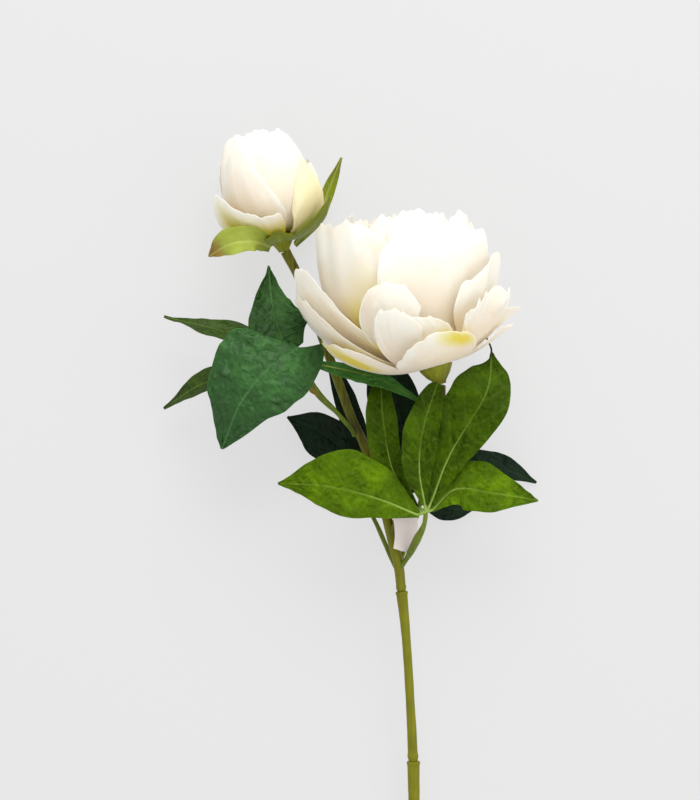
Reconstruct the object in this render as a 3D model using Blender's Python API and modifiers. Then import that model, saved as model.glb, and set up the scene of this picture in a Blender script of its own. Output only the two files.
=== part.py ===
"""A cut peony spray lying on a table: an open bloom and a bud on one forked, jointed stem with leaves.

The spray lies along +Y with its flowers at the +Y end, and rests on the bloom, the bud, the back
leaves and the cut end of the stem. Scene units are metres with +Z up. The tables are in millimetres:
X and Y are measured from the fork of the stem, and Z is the height above the table.
"""

import math
from collections import namedtuple

import bmesh
import bpy
from mathutils import Matrix, Vector

MM = 0.001

# Driving dimensions, in millimetres.
STEM_RADIUS = 2.6
BRANCH_RADIUS = 2.3
PETIOLE_RADIUS = 1.2
LEAF_THICKNESS = 0.6
PETAL_THICKNESS = 0.6
TAG_THICKNESS = 0.4
CLEARANCE = 0.3
LEAF_END_WIDTH = 0.5

# Resolution of the solids.
TUBE_BEVEL_RESOLUTION = 2
LEAF_STEPS = (9, 4)
PETAL_STEPS = (7, 6)
SEPAL_STEPS = (6, 3)
PROFILE_STEPS = 40

SPRAY = "peony_spray"

Finish = namedtuple("Finish", "colour roughness")
FINISHES = {
    "stem_green": Finish((0.20, 0.22, 0.02), 0.45),
    "leaf_green": Finish((0.10, 0.22, 0.02), 0.55),
    "shade_leaf_green": Finish((0.02, 0.06, 0.015), 0.6),
    "petal_cream": Finish((0.92, 0.88, 0.78), 0.6),
    "sepal_green": Finish((0.35, 0.42, 0.04), 0.5),
    "tag_paper": Finish((0.85, 0.82, 0.80), 0.7),
}

# A round piece along a smooth route: its points, and its radius from first point to last.
Tube = namedtuple("Tube", "name finish route radii points")
# The moulded stem's sections plug into each other, and each one's foot has a thicker collar.
TUBES = [
    Tube("stem_lower", "stem_green",
         [(8.0, -205.0, 2.8), (8.4, -170.0, 6.3), (7.8, -135.0, 9.9), (7.2, -103.6, 12.9)],
         [STEM_RADIUS + 0.2, STEM_RADIUS, STEM_RADIUS + 0.1, STEM_RADIUS + 0.5], 15),
    Tube("stem_middle", "stem_green",
         [(7.1, -102.8, 12.95), (5.4, -70.0, 16.1), (3.4, -40.0, 19.0), (1.1, -16.9, 21.3)],
         [STEM_RADIUS - 0.1, STEM_RADIUS - 0.4, STEM_RADIUS - 0.4, STEM_RADIUS + 0.2], 14),
    Tube("stem_upper", "stem_green",
         [(1.0, -16.2, 21.3), (-0.4, -4.0, 22.5), (-3.4, 9.0, 23.8), (-7.0, 23.0, 25.0)],
         [STEM_RADIUS - 0.3, STEM_RADIUS, STEM_RADIUS + 0.1, STEM_RADIUS - 0.1], 9),
    Tube("bud_branch", "stem_green",
         [(-7.8, 25.4, 25.1), (-17.0, 55.0, 26.0), (-24.6, 72.0, 26.0), (-33.0, 95.0, 25.5),
          (-44.6, 127.0, 25.0), (-51.6, 143.5, 26.2), (-57.6, 155.0, 27.4)],
         [BRANCH_RADIUS, BRANCH_RADIUS, BRANCH_RADIUS, BRANCH_RADIUS,
          BRANCH_RADIUS, BRANCH_RADIUS, BRANCH_RADIUS + 0.3], 24),
    Tube("bloom_branch", "stem_green",
         [(-1.2, 19.0, 27.3), (6.0, 42.0, 33.0), (15.5, 66.0, 41.0), (20.0, 80.0, 47.0),
          (20.4, 87.0, 49.4)],
         [BRANCH_RADIUS - 0.2, BRANCH_RADIUS, BRANCH_RADIUS, BRANCH_RADIUS, BRANCH_RADIUS], 14),
    Tube("right_leaf_stalk", "stem_green",
         [(3.3, -0.6, 25.8), (5.4, 3.4, 31.0), (8.6, 10.0, 38.0), (12.0, 17.5, 43.5),
          (12.9, 24.0, 45.5)],
         [PETIOLE_RADIUS, PETIOLE_RADIUS + 0.6, PETIOLE_RADIUS + 0.9, PETIOLE_RADIUS,
          PETIOLE_RADIUS - 0.2], 12),
    Tube("back_leaf_stalk", "stem_green",
         [(-3.5, -1.2, 19.0), (-10.6, 15.0, 15.5), (-14.2, 23.5, 13.4), (-15.6, 36.0, 12.2)],
         [PETIOLE_RADIUS, PETIOLE_RADIUS, PETIOLE_RADIUS, PETIOLE_RADIUS - 0.2], 10),
    Tube("back_right_leaf_stalk", "stem_green",
         [(1.6, 1.6, 19.6), (6.0, 13.0, 17.0), (9.6, 24.0, 15.2), (11.4, 31.6, 14.8)],
         [PETIOLE_RADIUS, PETIOLE_RADIUS, PETIOLE_RADIUS, PETIOLE_RADIUS - 0.2], 9),
    Tube("left_leaf_stalk", "stem_green",
         [(-24.0, 64.8, 28.6), (-31.5, 73.5, 34.0), (-42.0, 84.5, 41.0), (-50.6, 101.4, 47.6)],
         [PETIOLE_RADIUS - 0.1, PETIOLE_RADIUS, PETIOLE_RADIUS + 0.6, PETIOLE_RADIUS - 0.2], 12),
]

# A leaflet: its midrib's route, how far its blade reaches to the left and the right of the midrib,
# which way its upper side faces at its foot and its tip, how its two halves fold up from the
# midrib and curl further out (degrees), where it is widest, how wide its foot is as a share of
# its full width, and how slender its tip is. A lobed leaflet's left and right sides also reach
# out near its foot, their feet sweep back past the midrib's start, and they widen faster.
Leaflet = namedtuple(
    "Leaflet",
    "name finish midrib left right facing fold curl widest foot taper lobes sweep slim",
    defaults=(1.15, (0.0, 0.0), 0.0, 1.1))
UP = (0.0, 0.0, 1.0)
LOBE_PLACE = 0.27
LOBE_WIDTH = 0.11
LEAFLETS = [
    Leaflet("left_front_leaf", "leaf_green",
            [(-50.4, 106.6, 52.6), (-64.5, 97.0, 59.5), (-79.0, 79.0, 57.5), (-89.0, 55.5, 47.0)],
            22.0, 27.0, [(0.15, 0.35, 0.92), (-0.3, -0.25, 0.9)], 4.0, -16.0, 0.40, 0.2,
            1.0, (0.0, 8.0), 11.0, 0.5),
    Leaflet("left_upper_leaf", "leaf_green",
            [(-53.2, 104.8, 45.2), (-59.5, 113.0, 43.5), (-64.0, 128.0, 39.0), (-66.0, 147.6, 30.0)],
            16.5, 14.5, [(0.0, 0.25, 0.97), (0.1, 0.3, 0.95)], 10.0, 4.0, 0.34, 0.4, 1.4),
    Leaflet("left_far_leaf", "leaf_green",
            [(-56.0, 101.8, 41.0), (-76.0, 111.5, 34.5), (-98.0, 117.0, 31.0), (-119.0, 122.0, 24.0)],
            8.0, 5.6, [(0.05, 0.60, 0.80), (0.0, 0.75, 0.65)], 10.0, 6.0, 0.45, 0.1, 1.3),
    Leaflet("left_low_leaf", "leaf_green",
            [(-54.6, 97.6, 43.5), (-76.0, 96.0, 35.5), (-100.0, 88.0, 27.0), (-119.5, 75.5, 12.0)],
            6.0, 6.0, [(-0.2, 0.45, 0.87), (-0.2, 0.4, 0.9)], 10.0, 6.0, 0.55, 0.1),
    Leaflet("under_bloom_leaf", "leaf_green",
            [(-46.8, 99.0, 46.4), (-26.0, 94.8, 48.5), (-8.0, 89.4, 51.0), (11.0, 78.6, 54.0)],
            4.0, 6.2, [(0.1, 0.3, 0.95), (0.5, 0.62, 0.60)], 6.0, 4.0, 0.6, 0.15),
    Leaflet("left_back_leaf", "shade_leaf_green",
            [(-18.0, 39.0, 12.5), (-29.0, 54.0, 11.5), (-43.0, 65.0, 9.0), (-57.0, 71.4, 3.0)],
            12.0, 11.0, [(0.0, 0.0, 1.0), (-0.2, 0.1, 1.0)], 8.0, 4.0, 0.45, 0.15),
    Leaflet("back_middle_leaf", "shade_leaf_green",
            [(-16.0, 39.5, 15.0), (-22.0, 62.0, 17.5), (-29.0, 84.0, 17.0), (-37.0, 104.0, 14.0)],
            5.5, 6.0, [(0.0, 0.0, 1.0), (0.0, 0.1, 1.0)], 8.0, 4.0, 0.5, 0.15),
    Leaflet("back_tall_leaf", "shade_leaf_green",
            [(8.0, 33.0, 19.0), (5.5, 52.0, 18.0), (-1.5, 80.0, 14.5), (-11.0, 108.0, 7.5)],
            14.5, 11.5, [(0.0, 0.0, 1.0), (0.0, 0.1, 1.0)], 8.0, 4.0, 0.68, 0.15),
    Leaflet("back_right_leaf", "shade_leaf_green",
            [(14.2, 34.6, 14.8), (32.0, 46.0, 12.0), (52.0, 45.0, 7.5), (70.3, 37.8, 1.2)],
            8.0, 6.0, [(0.0, 0.0, 1.0), (0.1, 0.2, 1.0)], 8.0, 4.0, 0.5, 0.15),
    Leaflet("back_low_leaf", "shade_leaf_green",
            [(13.4, 30.4, 13.0), (19.0, 26.0, 10.5), (28.0, 24.0, 7.0), (40.0, 25.5, 1.2)],
            6.0, 5.5, [(0.0, 0.0, 1.0), (0.0, 0.0, 1.0)], 6.0, 4.0, 0.5, 0.2),
    Leaflet("right_low_left_leaf", "leaf_green",
            [(9.8, 22.2, 46.6), (-13.0, 31.5, 51.5), (-37.0, 37.2, 52.0), (-61.0, 38.2, 42.0)],
            12.5, 19.0, [(0.0, 0.1, 1.0), (-0.1, -0.1, 1.0)], 6.0, -6.0, 0.50, 0.05, 1.2),
    Leaflet("right_upright_leaf", "leaf_green",
            [(8.6, 25.6, 44.2), (-3.6, 45.0, 45.0), (-8.4, 70.0, 47.0), (-9.6, 92.6, 40.0)],
            8.5, 7.0, [(-0.2, 0.0, 0.97), (-0.1, 0.1, 1.0)], 12.0, 6.0, 0.5, 0.12),
    Leaflet("right_inner_leaf", "leaf_green",
            [(12.4, 27.6, 48.0), (9.5, 46.0, 55.0), (11.5, 66.0, 59.5), (18.5, 88.5, 56.0)],
            9.5, 8.0, [(-0.1, 0.0, 1.0), (0.0, 0.1, 1.0)], 10.0, 6.0, 0.55, 0.12, 0.7),
    Leaflet("right_tall_leaf", "leaf_green",
            [(15.0, 27.6, 46.6), (25.5, 54.0, 50.5), (42.5, 83.0, 58.0), (45.8, 104.0, 48.0)],
            17.0, 12.5, [(-0.1, 0.0, 1.0), (0.2, 0.3, 0.9)], 6.0, 2.0, 0.62, 0.12),
    Leaflet("right_low_right_leaf", "leaf_green",
            [(15.8, 24.6, 44.0), (27.0, 37.0, 46.0), (48.0, 33.2, 48.0), (69.3, 29.6, 40.0)],
            13.5, 10.5, [(0.0, 0.0, 1.0), (0.1, 0.1, 1.0)], 4.0, -4.0, 0.45, 0.1),
]

# A flower head: where its receptacle sits, which way it points, its receptacle's radius, and the
# radius and height span of the packed heart inside its petals.
Head = namedtuple("Head", "name seat axis receptacle_radius heart_radius heart_span")
BLOOM = Head("bloom", (17.5, 97.8, 50.6), (-0.276, 0.961, 0.02), 8.5, 24.0, (13.0, 74.0))
BUD = Head("bud", (-59.6, 161.5, 27.9), (-0.20, 0.979, 0.03), 6.0, 13.0, (8.5, 48.0))

# A whorl of petals round a head: where they start on the receptacle's dome (degrees from its top),
# how far they lean out from the axis at foot and tip (degrees), their length, and how quickly they
# straighten. Each petal has a place round the head (degrees, 0 up and 90 towards +X), half its
# spread round the head (degrees) and its length as a share of the whorl's.
Whorl = namedtuple("Whorl", "name finish start lean_foot lean_tip length straighten petals")
BLOOM_WHORLS = [
    Whorl("bloom_guard_petal", "petal_cream", 94.0, 91.0, 26.0, 55.0, 1.0,
          [(-60, 24, 0.68), (16, 34, 0.58), (88, 30, 0.64), (146, 26, 0.84), (-166, 20, 0.88),
           (-126, 17, 0.90)]),
    Whorl("bloom_outer_petal", "petal_cream", 83.0, 86.0, 14.0, 66.0, 1.25,
          [(-90, 34, 1.0), (-14, 16, 0.78), (27, 22, 0.69), (84, 32, 0.75), (164, 45, 0.88)]),
    Whorl("bloom_second_petal", "petal_cream", 70.0, 82.0, 4.0, 74.0, 1.4,
          [(-80, 36, 1.08), (-8, 34, 0.82), (70, 42, 0.86), (150, 36, 0.90), (-143, 24, 1.0)]),
    Whorl("bloom_third_petal", "petal_cream", 57.0, 77.0, -3.0, 80.0, 1.6,
          [(-62, 46, 1.14), (31, 45, 0.97), (122, 43, 0.90), (-148, 37, 1.02)]),
]
BUD_WHORLS = [
    Whorl("bud_outer_petal", "petal_cream", 84.0, 88.0, -16.0, 55.0, 1.6,
          [(-78, 50, 0.68), (72, 46, 0.84), (180, 50, 0.80)]),
    Whorl("bud_inner_petal", "petal_cream", 62.0, 78.0, -25.0, 61.0, 1.7,
          [(-26, 60, 1.0), (104, 56, 0.82), (-144, 50, 0.98)]),
]

# A sepal that hugs the bud: its place round the head, half its spread, its length, and its lean.
Sepal = namedtuple("Sepal", "name place spread length lean_foot lean_tip")
SEPALS = [
    Sepal("sepal_right", 70, 20, 32.0, 84.0, 36.0),
    Sepal("sepal_front", 10, 22, 14.0, 90.0, 60.0),
    Sepal("sepal_back", -160, 30, 19.0, 92.0, 56.0),
]
SEPAL_START = 106.0
# Two more sepals stand away from the bud, and are shaped as leaflets.
LOOSE_SEPALS = [
    Leaflet("sepal_right_far", "sepal_green",
            [(-53.0, 158.6, 22.0), (-42.0, 172.0, 11.0), (-35.5, 188.0, 12.0), (-29.3, 202.8, 20.0)],
            3.2, 3.2, [(0.4, -0.3, 0.85), (0.3, 0.0, 0.95)], 10.0, 4.0, 0.55, 0.4),
    Leaflet("sepal_left", "sepal_green",
            [(-64.8, 156.6, 33.2), (-73.0, 159.2, 46.8), (-84.5, 157.8, 48.0), (-96.0, 152.0, 38.0)],
            5.0, 8.0, [(0.0, -0.25, 0.97), (0.0, 0.0, 1.0)], 4.0, 6.0, 0.62, 0.4),
]

# The paper tag: a bent strip beside the stem above the fork, from its top end to its foot.
TAG_MIDDLE = [(1.8, 25.5, 35.0), (2.9, 18.0, 34.0), (2.6, 10.0, 31.0), (0.8, 4.0, 28.8)]
TAG_ACROSS = (0.90, -0.28, -0.33)
TAG_HALF_WIDTHS = (7.0, 3.6)


def clear_scene():
    """Removes every object, so that the script also runs in a scene that holds something."""
    for obj in list(bpy.data.objects):
        bpy.data.objects.remove(obj)


def finish_material(name):
    """The material of one finish, made once."""
    made = bpy.data.materials.get(name)
    if made:
        return made
    made = bpy.data.materials.new(name)
    made.use_nodes = True
    shader = made.node_tree.nodes["Principled BSDF"]
    shader.inputs["Base Color"].default_value = (*FINISHES[name].colour, 1.0)
    shader.inputs["Roughness"].default_value = FINISHES[name].roughness
    shader.inputs["Metallic"].default_value = 0.0
    return made


def add_object(name, data, finish, parent, location=(0, 0, 0)):
    """A named object in the spray's collection, under its parent, with one finish."""
    obj = bpy.data.objects.new(name, data)
    bpy.data.collections[SPRAY].objects.link(obj)
    obj.data.materials.append(finish_material(finish))
    obj.parent = parent
    obj.location = location
    return obj


def add_empty(name, parent=None):
    empty = bpy.data.objects.new(name, None)
    bpy.data.collections[SPRAY].objects.link(empty)
    empty.parent = parent
    return empty


def catmull_rom(points, share):
    """A point at a share, 0 to 1, of the smooth route through the points."""
    spans = len(points) - 1
    place = min(max(share, 0.0), 1.0) * spans
    i = min(int(place), spans - 1)
    t = place - i
    before = points[i - 1] if i > 0 else points[i] * 2 - points[i + 1]
    after = points[i + 2] if i + 2 <= spans else points[i + 1] * 2 - points[i]
    a, b = points[i], points[i + 1]
    return 0.5 * (2 * a + (b - before) * t + (2 * before - 5 * a + 4 * b - after) * t ** 2
                  + (3 * a - before - 3 * b + after) * t ** 3)


def spread_value(values, share):
    """A number at a share of the way along a list, in straight steps."""
    place = min(max(share, 0.0), 1.0) * (len(values) - 1)
    i = min(int(place), len(values) - 2)
    return values[i] + (values[i + 1] - values[i]) * (place - i)


def add_tube(tube, parent):
    """A stem or stalk: a bevelled curve with filled caps and its own radius at each point."""
    route = [Vector(p) for p in tube.route]
    curve = bpy.data.curves.new(tube.name, "CURVE")
    curve.dimensions = "3D"
    curve.bevel_depth = MM
    curve.bevel_resolution = TUBE_BEVEL_RESOLUTION
    curve.use_fill_caps = True
    spline = curve.splines.new("POLY")
    spline.points.add(tube.points - 1)
    for i, point in enumerate(spline.points):
        share = i / (tube.points - 1)
        point.co = (*((catmull_rom(route, share) - route[0]) * MM), 1.0)
        point.radius = spread_value(tube.radii, share)
    return add_object(tube.name, curve, tube.finish, parent, route[0] * MM)


def sheet_mesh(name, steps, place):
    """An open grid, u along and v from -1 to 1 across, with each corner put where place says."""
    along, across = steps
    bm = bmesh.new()
    bmesh.ops.create_grid(bm, x_segments=along, y_segments=across, size=1.0)
    for vert in bm.verts:
        vert.co = place((vert.co.x + 1) / 2, vert.co.y) * MM
    mesh = bpy.data.meshes.new(name)
    bm.to_mesh(mesh)
    bm.free()
    mesh.shade_smooth()
    return mesh


def thicken(obj, thickness):
    """Gives an open sheet its wall, half to each side."""
    wall = obj.modifiers.new("wall", "SOLIDIFY")
    wall.thickness = thickness * MM
    wall.offset = 0.0
    wall.use_even_offset = False
    return obj


def blade_width(leaf, t):
    """Half-width of a leaf blade at t along it, as a share of its widest."""
    if t < leaf.widest:
        return leaf.foot + (1 - leaf.foot) * math.sin(math.pi / 2 * t / leaf.widest) ** leaf.slim
    past = (t - leaf.widest) / (1 - leaf.widest)
    return max(math.cos(math.pi / 2 * past), 0.0) ** leaf.taper


def leaf_point(leaf, t, v):
    """A point of a leaflet's blade, t along the midrib and v across it from -1 to 1."""
    midrib = [Vector(p) for p in leaf.midrib]
    centre = catmull_rom(midrib, t)
    step = 0.01
    tangent = (catmull_rom(midrib, min(t + step, 1)) - catmull_rom(midrib, max(t - step, 0)))
    tangent.normalize()
    facing = Vector(leaf.facing[0]).lerp(Vector(leaf.facing[1]), t)
    normal = (facing - tangent * facing.dot(tangent)).normalized()
    side = tangent.cross(normal)
    reach, lobe = (leaf.right, leaf.lobes[1]) if v > 0 else (leaf.left, leaf.lobes[0])
    half = LEAF_END_WIDTH + reach * blade_width(leaf, t)
    half += lobe * math.exp(-(((t - LOBE_PLACE) / LOBE_WIDTH) ** 2))
    rise = math.radians(leaf.fold + leaf.curl * abs(v))
    back = leaf.sweep * abs(v) ** 1.5 * (1 - t) ** 3
    return (centre - tangent * back + side * (v * half * math.cos(rise))
            + normal * (abs(v) * half * math.sin(rise)))


def add_leaflet(leaf, steps, parent):
    foot = Vector(leaf.midrib[0])
    mesh = sheet_mesh(leaf.name, steps, lambda u, v: leaf_point(leaf, u, v) - foot)
    obj = add_object(leaf.name, mesh, leaf.finish, parent, foot * MM)
    return thicken(obj, LEAF_THICKNESS)


def whorl_profile(receptacle_radius, start, lean_foot, lean_tip, length, straighten):
    """Radius and height of a petal's middle line, from foot to tip, in equal steps."""
    seat = receptacle_radius + PETAL_THICKNESS + CLEARANCE
    radius = seat * math.sin(math.radians(start))
    height = seat * math.cos(math.radians(start))
    line = [Vector((radius, height))]
    for i in range(PROFILE_STEPS):
        share = (i + 0.5) / PROFILE_STEPS
        lean = math.radians(lean_tip + (lean_foot - lean_tip) * (1 - share) ** straighten)
        line.append(line[-1] + Vector((math.sin(lean), math.cos(lean))) * length / PROFILE_STEPS)
    return line


def along_line(line, share):
    """A point of a petal's middle line, which runs on straight past its whorl's length."""
    if share <= 1:
        return catmull_rom(line, share)
    return line[-1] + (line[-1] - line[-2]) * (share - 1) * PROFILE_STEPS


def petal_point(line, length_share, spread, u, v, tip_round=0.22):
    """A point of a petal that hugs the head's axis, u along it and v across it from -1 to 1."""
    middle = along_line(line, length_share * u * (1 - tip_round * abs(v) ** 2.5))
    turn = math.radians(spread) * v * (1 - 0.12 * u ** 4)
    return Vector((middle.x * math.cos(turn), middle.x * math.sin(turn), middle.y))


def add_turned(name, finish, profile, parent):
    """A turned shape from its profile of radius and height, which runs down its outer side."""
    bm = bmesh.new()
    verts = [bm.verts.new((r * MM, 0, z * MM)) for r, z in profile]
    for a, b in zip(verts, verts[1:]):
        bm.edges.new((a, b))
    mesh = bpy.data.meshes.new(name)
    bm.to_mesh(mesh)
    bm.free()
    obj = add_object(name, mesh, finish, parent)
    screw = obj.modifiers.new("turn", "SCREW")
    screw.axis = "Z"
    screw.steps = screw.render_steps = 12
    screw.use_merge_vertices = True
    screw.merge_threshold = 0.0001 * MM
    return obj


def dome_profile(radius, foot_radius, depth):
    """A round dome on a tapering cup, from the dome's top down to the cup's foot."""
    steps = 6
    dome = [(radius * math.sin(math.pi / 2 * i / steps), radius * math.cos(math.pi / 2 * i / steps))
            for i in range(steps + 1)]
    return dome + [(radius * 0.86, -depth * 0.35), (foot_radius, -depth), (0.0, -depth)]


def heart_profile(radius, span):
    """The outline of the packed petals in the middle of a head, from its top to its foot."""
    low, high = span
    steps = 10
    middle, half = (low + high) / 2, (high - low) / 2
    return [(radius * math.sin(math.pi * i / steps), middle + half * math.cos(math.pi * i / steps))
            for i in range(steps + 1)]


def add_head(head, calyx_depth, calyx_foot, parent):
    """A head's empty, with its +Z along the flower and its +X turned up, and its inner pieces."""
    axis = Vector(head.axis).normalized()
    up = (Vector(UP) - axis * axis.z).normalized()
    across = axis.cross(up)
    empty = add_empty(head.name + "_head", parent)
    turned = Matrix((up, across, axis)).transposed().to_4x4()
    empty.matrix_local = Matrix.Translation(Vector(head.seat) * MM) @ turned
    add_turned(head.name + "_calyx", "sepal_green",
               dome_profile(head.receptacle_radius, calyx_foot, calyx_depth), empty)
    add_turned(head.name + "_heart", "petal_cream",
               heart_profile(head.heart_radius, head.heart_span), empty)
    return empty


def add_whorl(whorl, head, empty):
    line = whorl_profile(head.receptacle_radius, whorl.start, whorl.lean_foot,
                         whorl.lean_tip, whorl.length, whorl.straighten)
    for i, (place, spread, share) in enumerate(whorl.petals):
        name = f"{whorl.name}_{i + 1}"
        mesh = sheet_mesh(name, PETAL_STEPS,
                          lambda u, v: petal_point(line, share, spread, u, v))
        petal = add_object(name, mesh, whorl.finish, empty)
        petal.rotation_euler.z = math.radians(place)
        thicken(petal, PETAL_THICKNESS)


def add_sepals(head, empty):
    for sepal in SEPALS:
        line = whorl_profile(head.receptacle_radius, SEPAL_START, sepal.lean_foot,
                             sepal.lean_tip, sepal.length, 1.2)

        def place(u, v, line=line, sepal=sepal):
            middle = catmull_rom(line, u)
            half = math.radians(sepal.spread) * line[0].x * (1 + 1.2 * math.sin(math.pi * u ** 0.8))
            half *= 1 - 0.92 * u ** 3
            turn = v * half / middle.x
            return Vector((middle.x * math.cos(turn), middle.x * math.sin(turn), middle.y))

        obj = add_object(sepal.name, sheet_mesh(sepal.name, SEPAL_STEPS, place),
                         "sepal_green", empty)
        obj.rotation_euler.z = math.radians(sepal.place)
        thicken(obj, LEAF_THICKNESS)


def add_tag(parent):
    """The blank paper tag, a slightly bent strip between the stem and the right leaf stalk."""
    middle = [Vector(p) for p in TAG_MIDDLE]
    across = Vector(TAG_ACROSS).normalized()

    def place(u, v):
        half = TAG_HALF_WIDTHS[0] + (TAG_HALF_WIDTHS[1] - TAG_HALF_WIDTHS[0]) * u
        return catmull_rom(middle, u) - middle[0] + across * (v * half)

    obj = add_object("paper_tag", sheet_mesh("paper_tag", (5, 2), place), "tag_paper", parent,
                     middle[0] * MM)
    thicken(obj, TAG_THICKNESS)


def rest_on_origin(spray):
    """Moves the whole spray so that the middle of its base is at the origin."""
    bpy.context.view_layer.update()
    graph = bpy.context.evaluated_depsgraph_get()
    corners = []
    for obj in spray.children_recursive:
        if obj.type == "EMPTY":
            continue
        evaluated = obj.evaluated_get(graph)
        mesh = evaluated.to_mesh()
        corners += [evaluated.matrix_world @ v.co for v in mesh.vertices]
        evaluated.to_mesh_clear()
    low = Vector([min(c[i] for c in corners) for i in range(3)])
    high = Vector([max(c[i] for c in corners) for i in range(3)])
    spray.location = -Vector(((low.x + high.x) / 2, (low.y + high.y) / 2, low.z))


def main():
    clear_scene()
    collection = bpy.data.collections.new(SPRAY)
    bpy.context.scene.collection.children.link(collection)
    spray = add_empty(SPRAY)
    for tube in TUBES:
        add_tube(tube, spray)
    for leaf in LEAFLETS:
        add_leaflet(leaf, LEAF_STEPS, spray)
    bloom = add_head(BLOOM, 9.0, BRANCH_RADIUS + 0.6, spray)
    for whorl in BLOOM_WHORLS:
        add_whorl(whorl, BLOOM, bloom)
    bud = add_head(BUD, 5.5, BRANCH_RADIUS + 0.6, spray)
    for whorl in BUD_WHORLS:
        add_whorl(whorl, BUD, bud)
    add_sepals(BUD, bud)
    for sepal in LOOSE_SEPALS:
        add_leaflet(sepal, SEPAL_STEPS, spray)
    add_tag(spray)
    rest_on_origin(spray)


main()
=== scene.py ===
"""The looks of an artificial peony spray: fabric petals and leaves on a moulded, jointed stem.

Run as a script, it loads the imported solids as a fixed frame, registers the operators below and
calls them in order. Each operator makes one group of pieces that stand for the solids of the same
names. Tables are in millimetres in the spray's own layout: X and Y from the fork of the stem, Z
above the table. The frame tells where that layout stands.
"""

import math
from collections import namedtuple

import bmesh
import bpy
import numpy as np
from mathutils import Matrix, Vector


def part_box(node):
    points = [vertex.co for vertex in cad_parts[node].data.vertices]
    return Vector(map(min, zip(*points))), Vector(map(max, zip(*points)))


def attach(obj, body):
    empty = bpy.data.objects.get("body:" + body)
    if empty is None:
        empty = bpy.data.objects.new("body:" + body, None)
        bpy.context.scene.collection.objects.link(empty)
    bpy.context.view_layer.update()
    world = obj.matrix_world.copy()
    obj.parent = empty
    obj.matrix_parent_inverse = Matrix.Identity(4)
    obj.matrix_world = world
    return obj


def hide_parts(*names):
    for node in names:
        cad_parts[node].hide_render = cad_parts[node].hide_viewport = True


bl_info = {
    "name": "Artificial Peony Spray",
    "version": (1, 0, 0),
    "blender": (4, 5, 0),
    "location": "3D View > Sidebar > Peony",
    "description": "Makes a fabric peony spray with a bloom, a bud, leaves and a moulded stem",
    "category": "Add Mesh",
}

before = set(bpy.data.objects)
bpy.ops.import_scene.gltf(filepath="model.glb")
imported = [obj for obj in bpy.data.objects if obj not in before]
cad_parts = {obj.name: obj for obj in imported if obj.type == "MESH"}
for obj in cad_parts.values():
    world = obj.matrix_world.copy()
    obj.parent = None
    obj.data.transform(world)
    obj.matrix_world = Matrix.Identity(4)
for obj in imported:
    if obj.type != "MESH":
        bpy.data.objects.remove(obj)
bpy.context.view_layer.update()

MM = 0.001
UP = np.array((0.0, 0.0, 1.0))
WHITE = (1.0, 1.0, 1.0, 1.0)
GOLDEN_ANGLE = math.pi * (3 - 5 ** 0.5)

# The stage: the point in the middle of the view, in layout millimetres; the floor's half-width and
# how far it lies under the spray; and each softbox's place from the middle and share of the key
# light's power. Metres.
VIEW_CENTRE = (-25.0, 80.0, 45.0)
FLOOR_HALF = 4.0
FLOOR_DROP = -0.2 * MM
SOFTBOX_SIZE = 0.8
SOFTBOXES = {"key_softbox": ((0.10, 0.95, 0.80), 1.0), "side_softbox": ((0.9, -0.1, 0.9), 0.25)}

# Driving dimensions of the solids, in millimetres.
STEM_RADIUS = 2.6
BRANCH_RADIUS = 2.3
PETIOLE_RADIUS = 1.2
PETAL_THICKNESS = 0.6
CLEARANCE = 0.3
LEAF_END_WIDTH = 0.5
LOBE_PLACE = 0.27
LOBE_WIDTH = 0.11
PROFILE_STEPS = 40
SEPAL_START = 106.0

# How far a leaf's rib stands under its blade, and the cloths that hide theirs.
RIB_DEPTH = 0.75
RIB_DEPTHS = {"cool": 2.0, "deep": 1.4, "olive_deep": 1.0, "shade": 1.4}
# How high a leaf's puckers stand, on a blade at least this wide on each side.
PUCKER = 0.9
PUCKER_REACH = 20.0

# How finely the fabric pieces are drawn: steps along and across.
PETAL_GRID = (56, 49)
LEAF_GRID = (90, 41)
SEPAL_GRID = (40, 17)
HEART_GRID = (26, 27)
ROUTE_SAMPLES = 200
TUBE_STEP = 0.9
TUBE_LEAST_POINTS = 24

# A sheet's edges are this share of its thickness, and corners sharper than this are creases.
EDGE_SHARE = 0.4
SHARP_ANGLE = 50.0

# How far each plugged foot reaches into the piece below it, in millimetres.
PLUGS = {"stem_middle": 1.0, "stem_upper": 1.0, "bud_branch": 2.6}

# A stamen's radius at each height, and its tip.
STAMEN_PROFILE = [(0.25, 0.0), (0.2, 20.0), (0.55, 21.0), (0.75, 23.0), (0.45, 24.6)]
STAMEN_HEIGHT = 25.0
STAMEN_SIDES = 6

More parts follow.
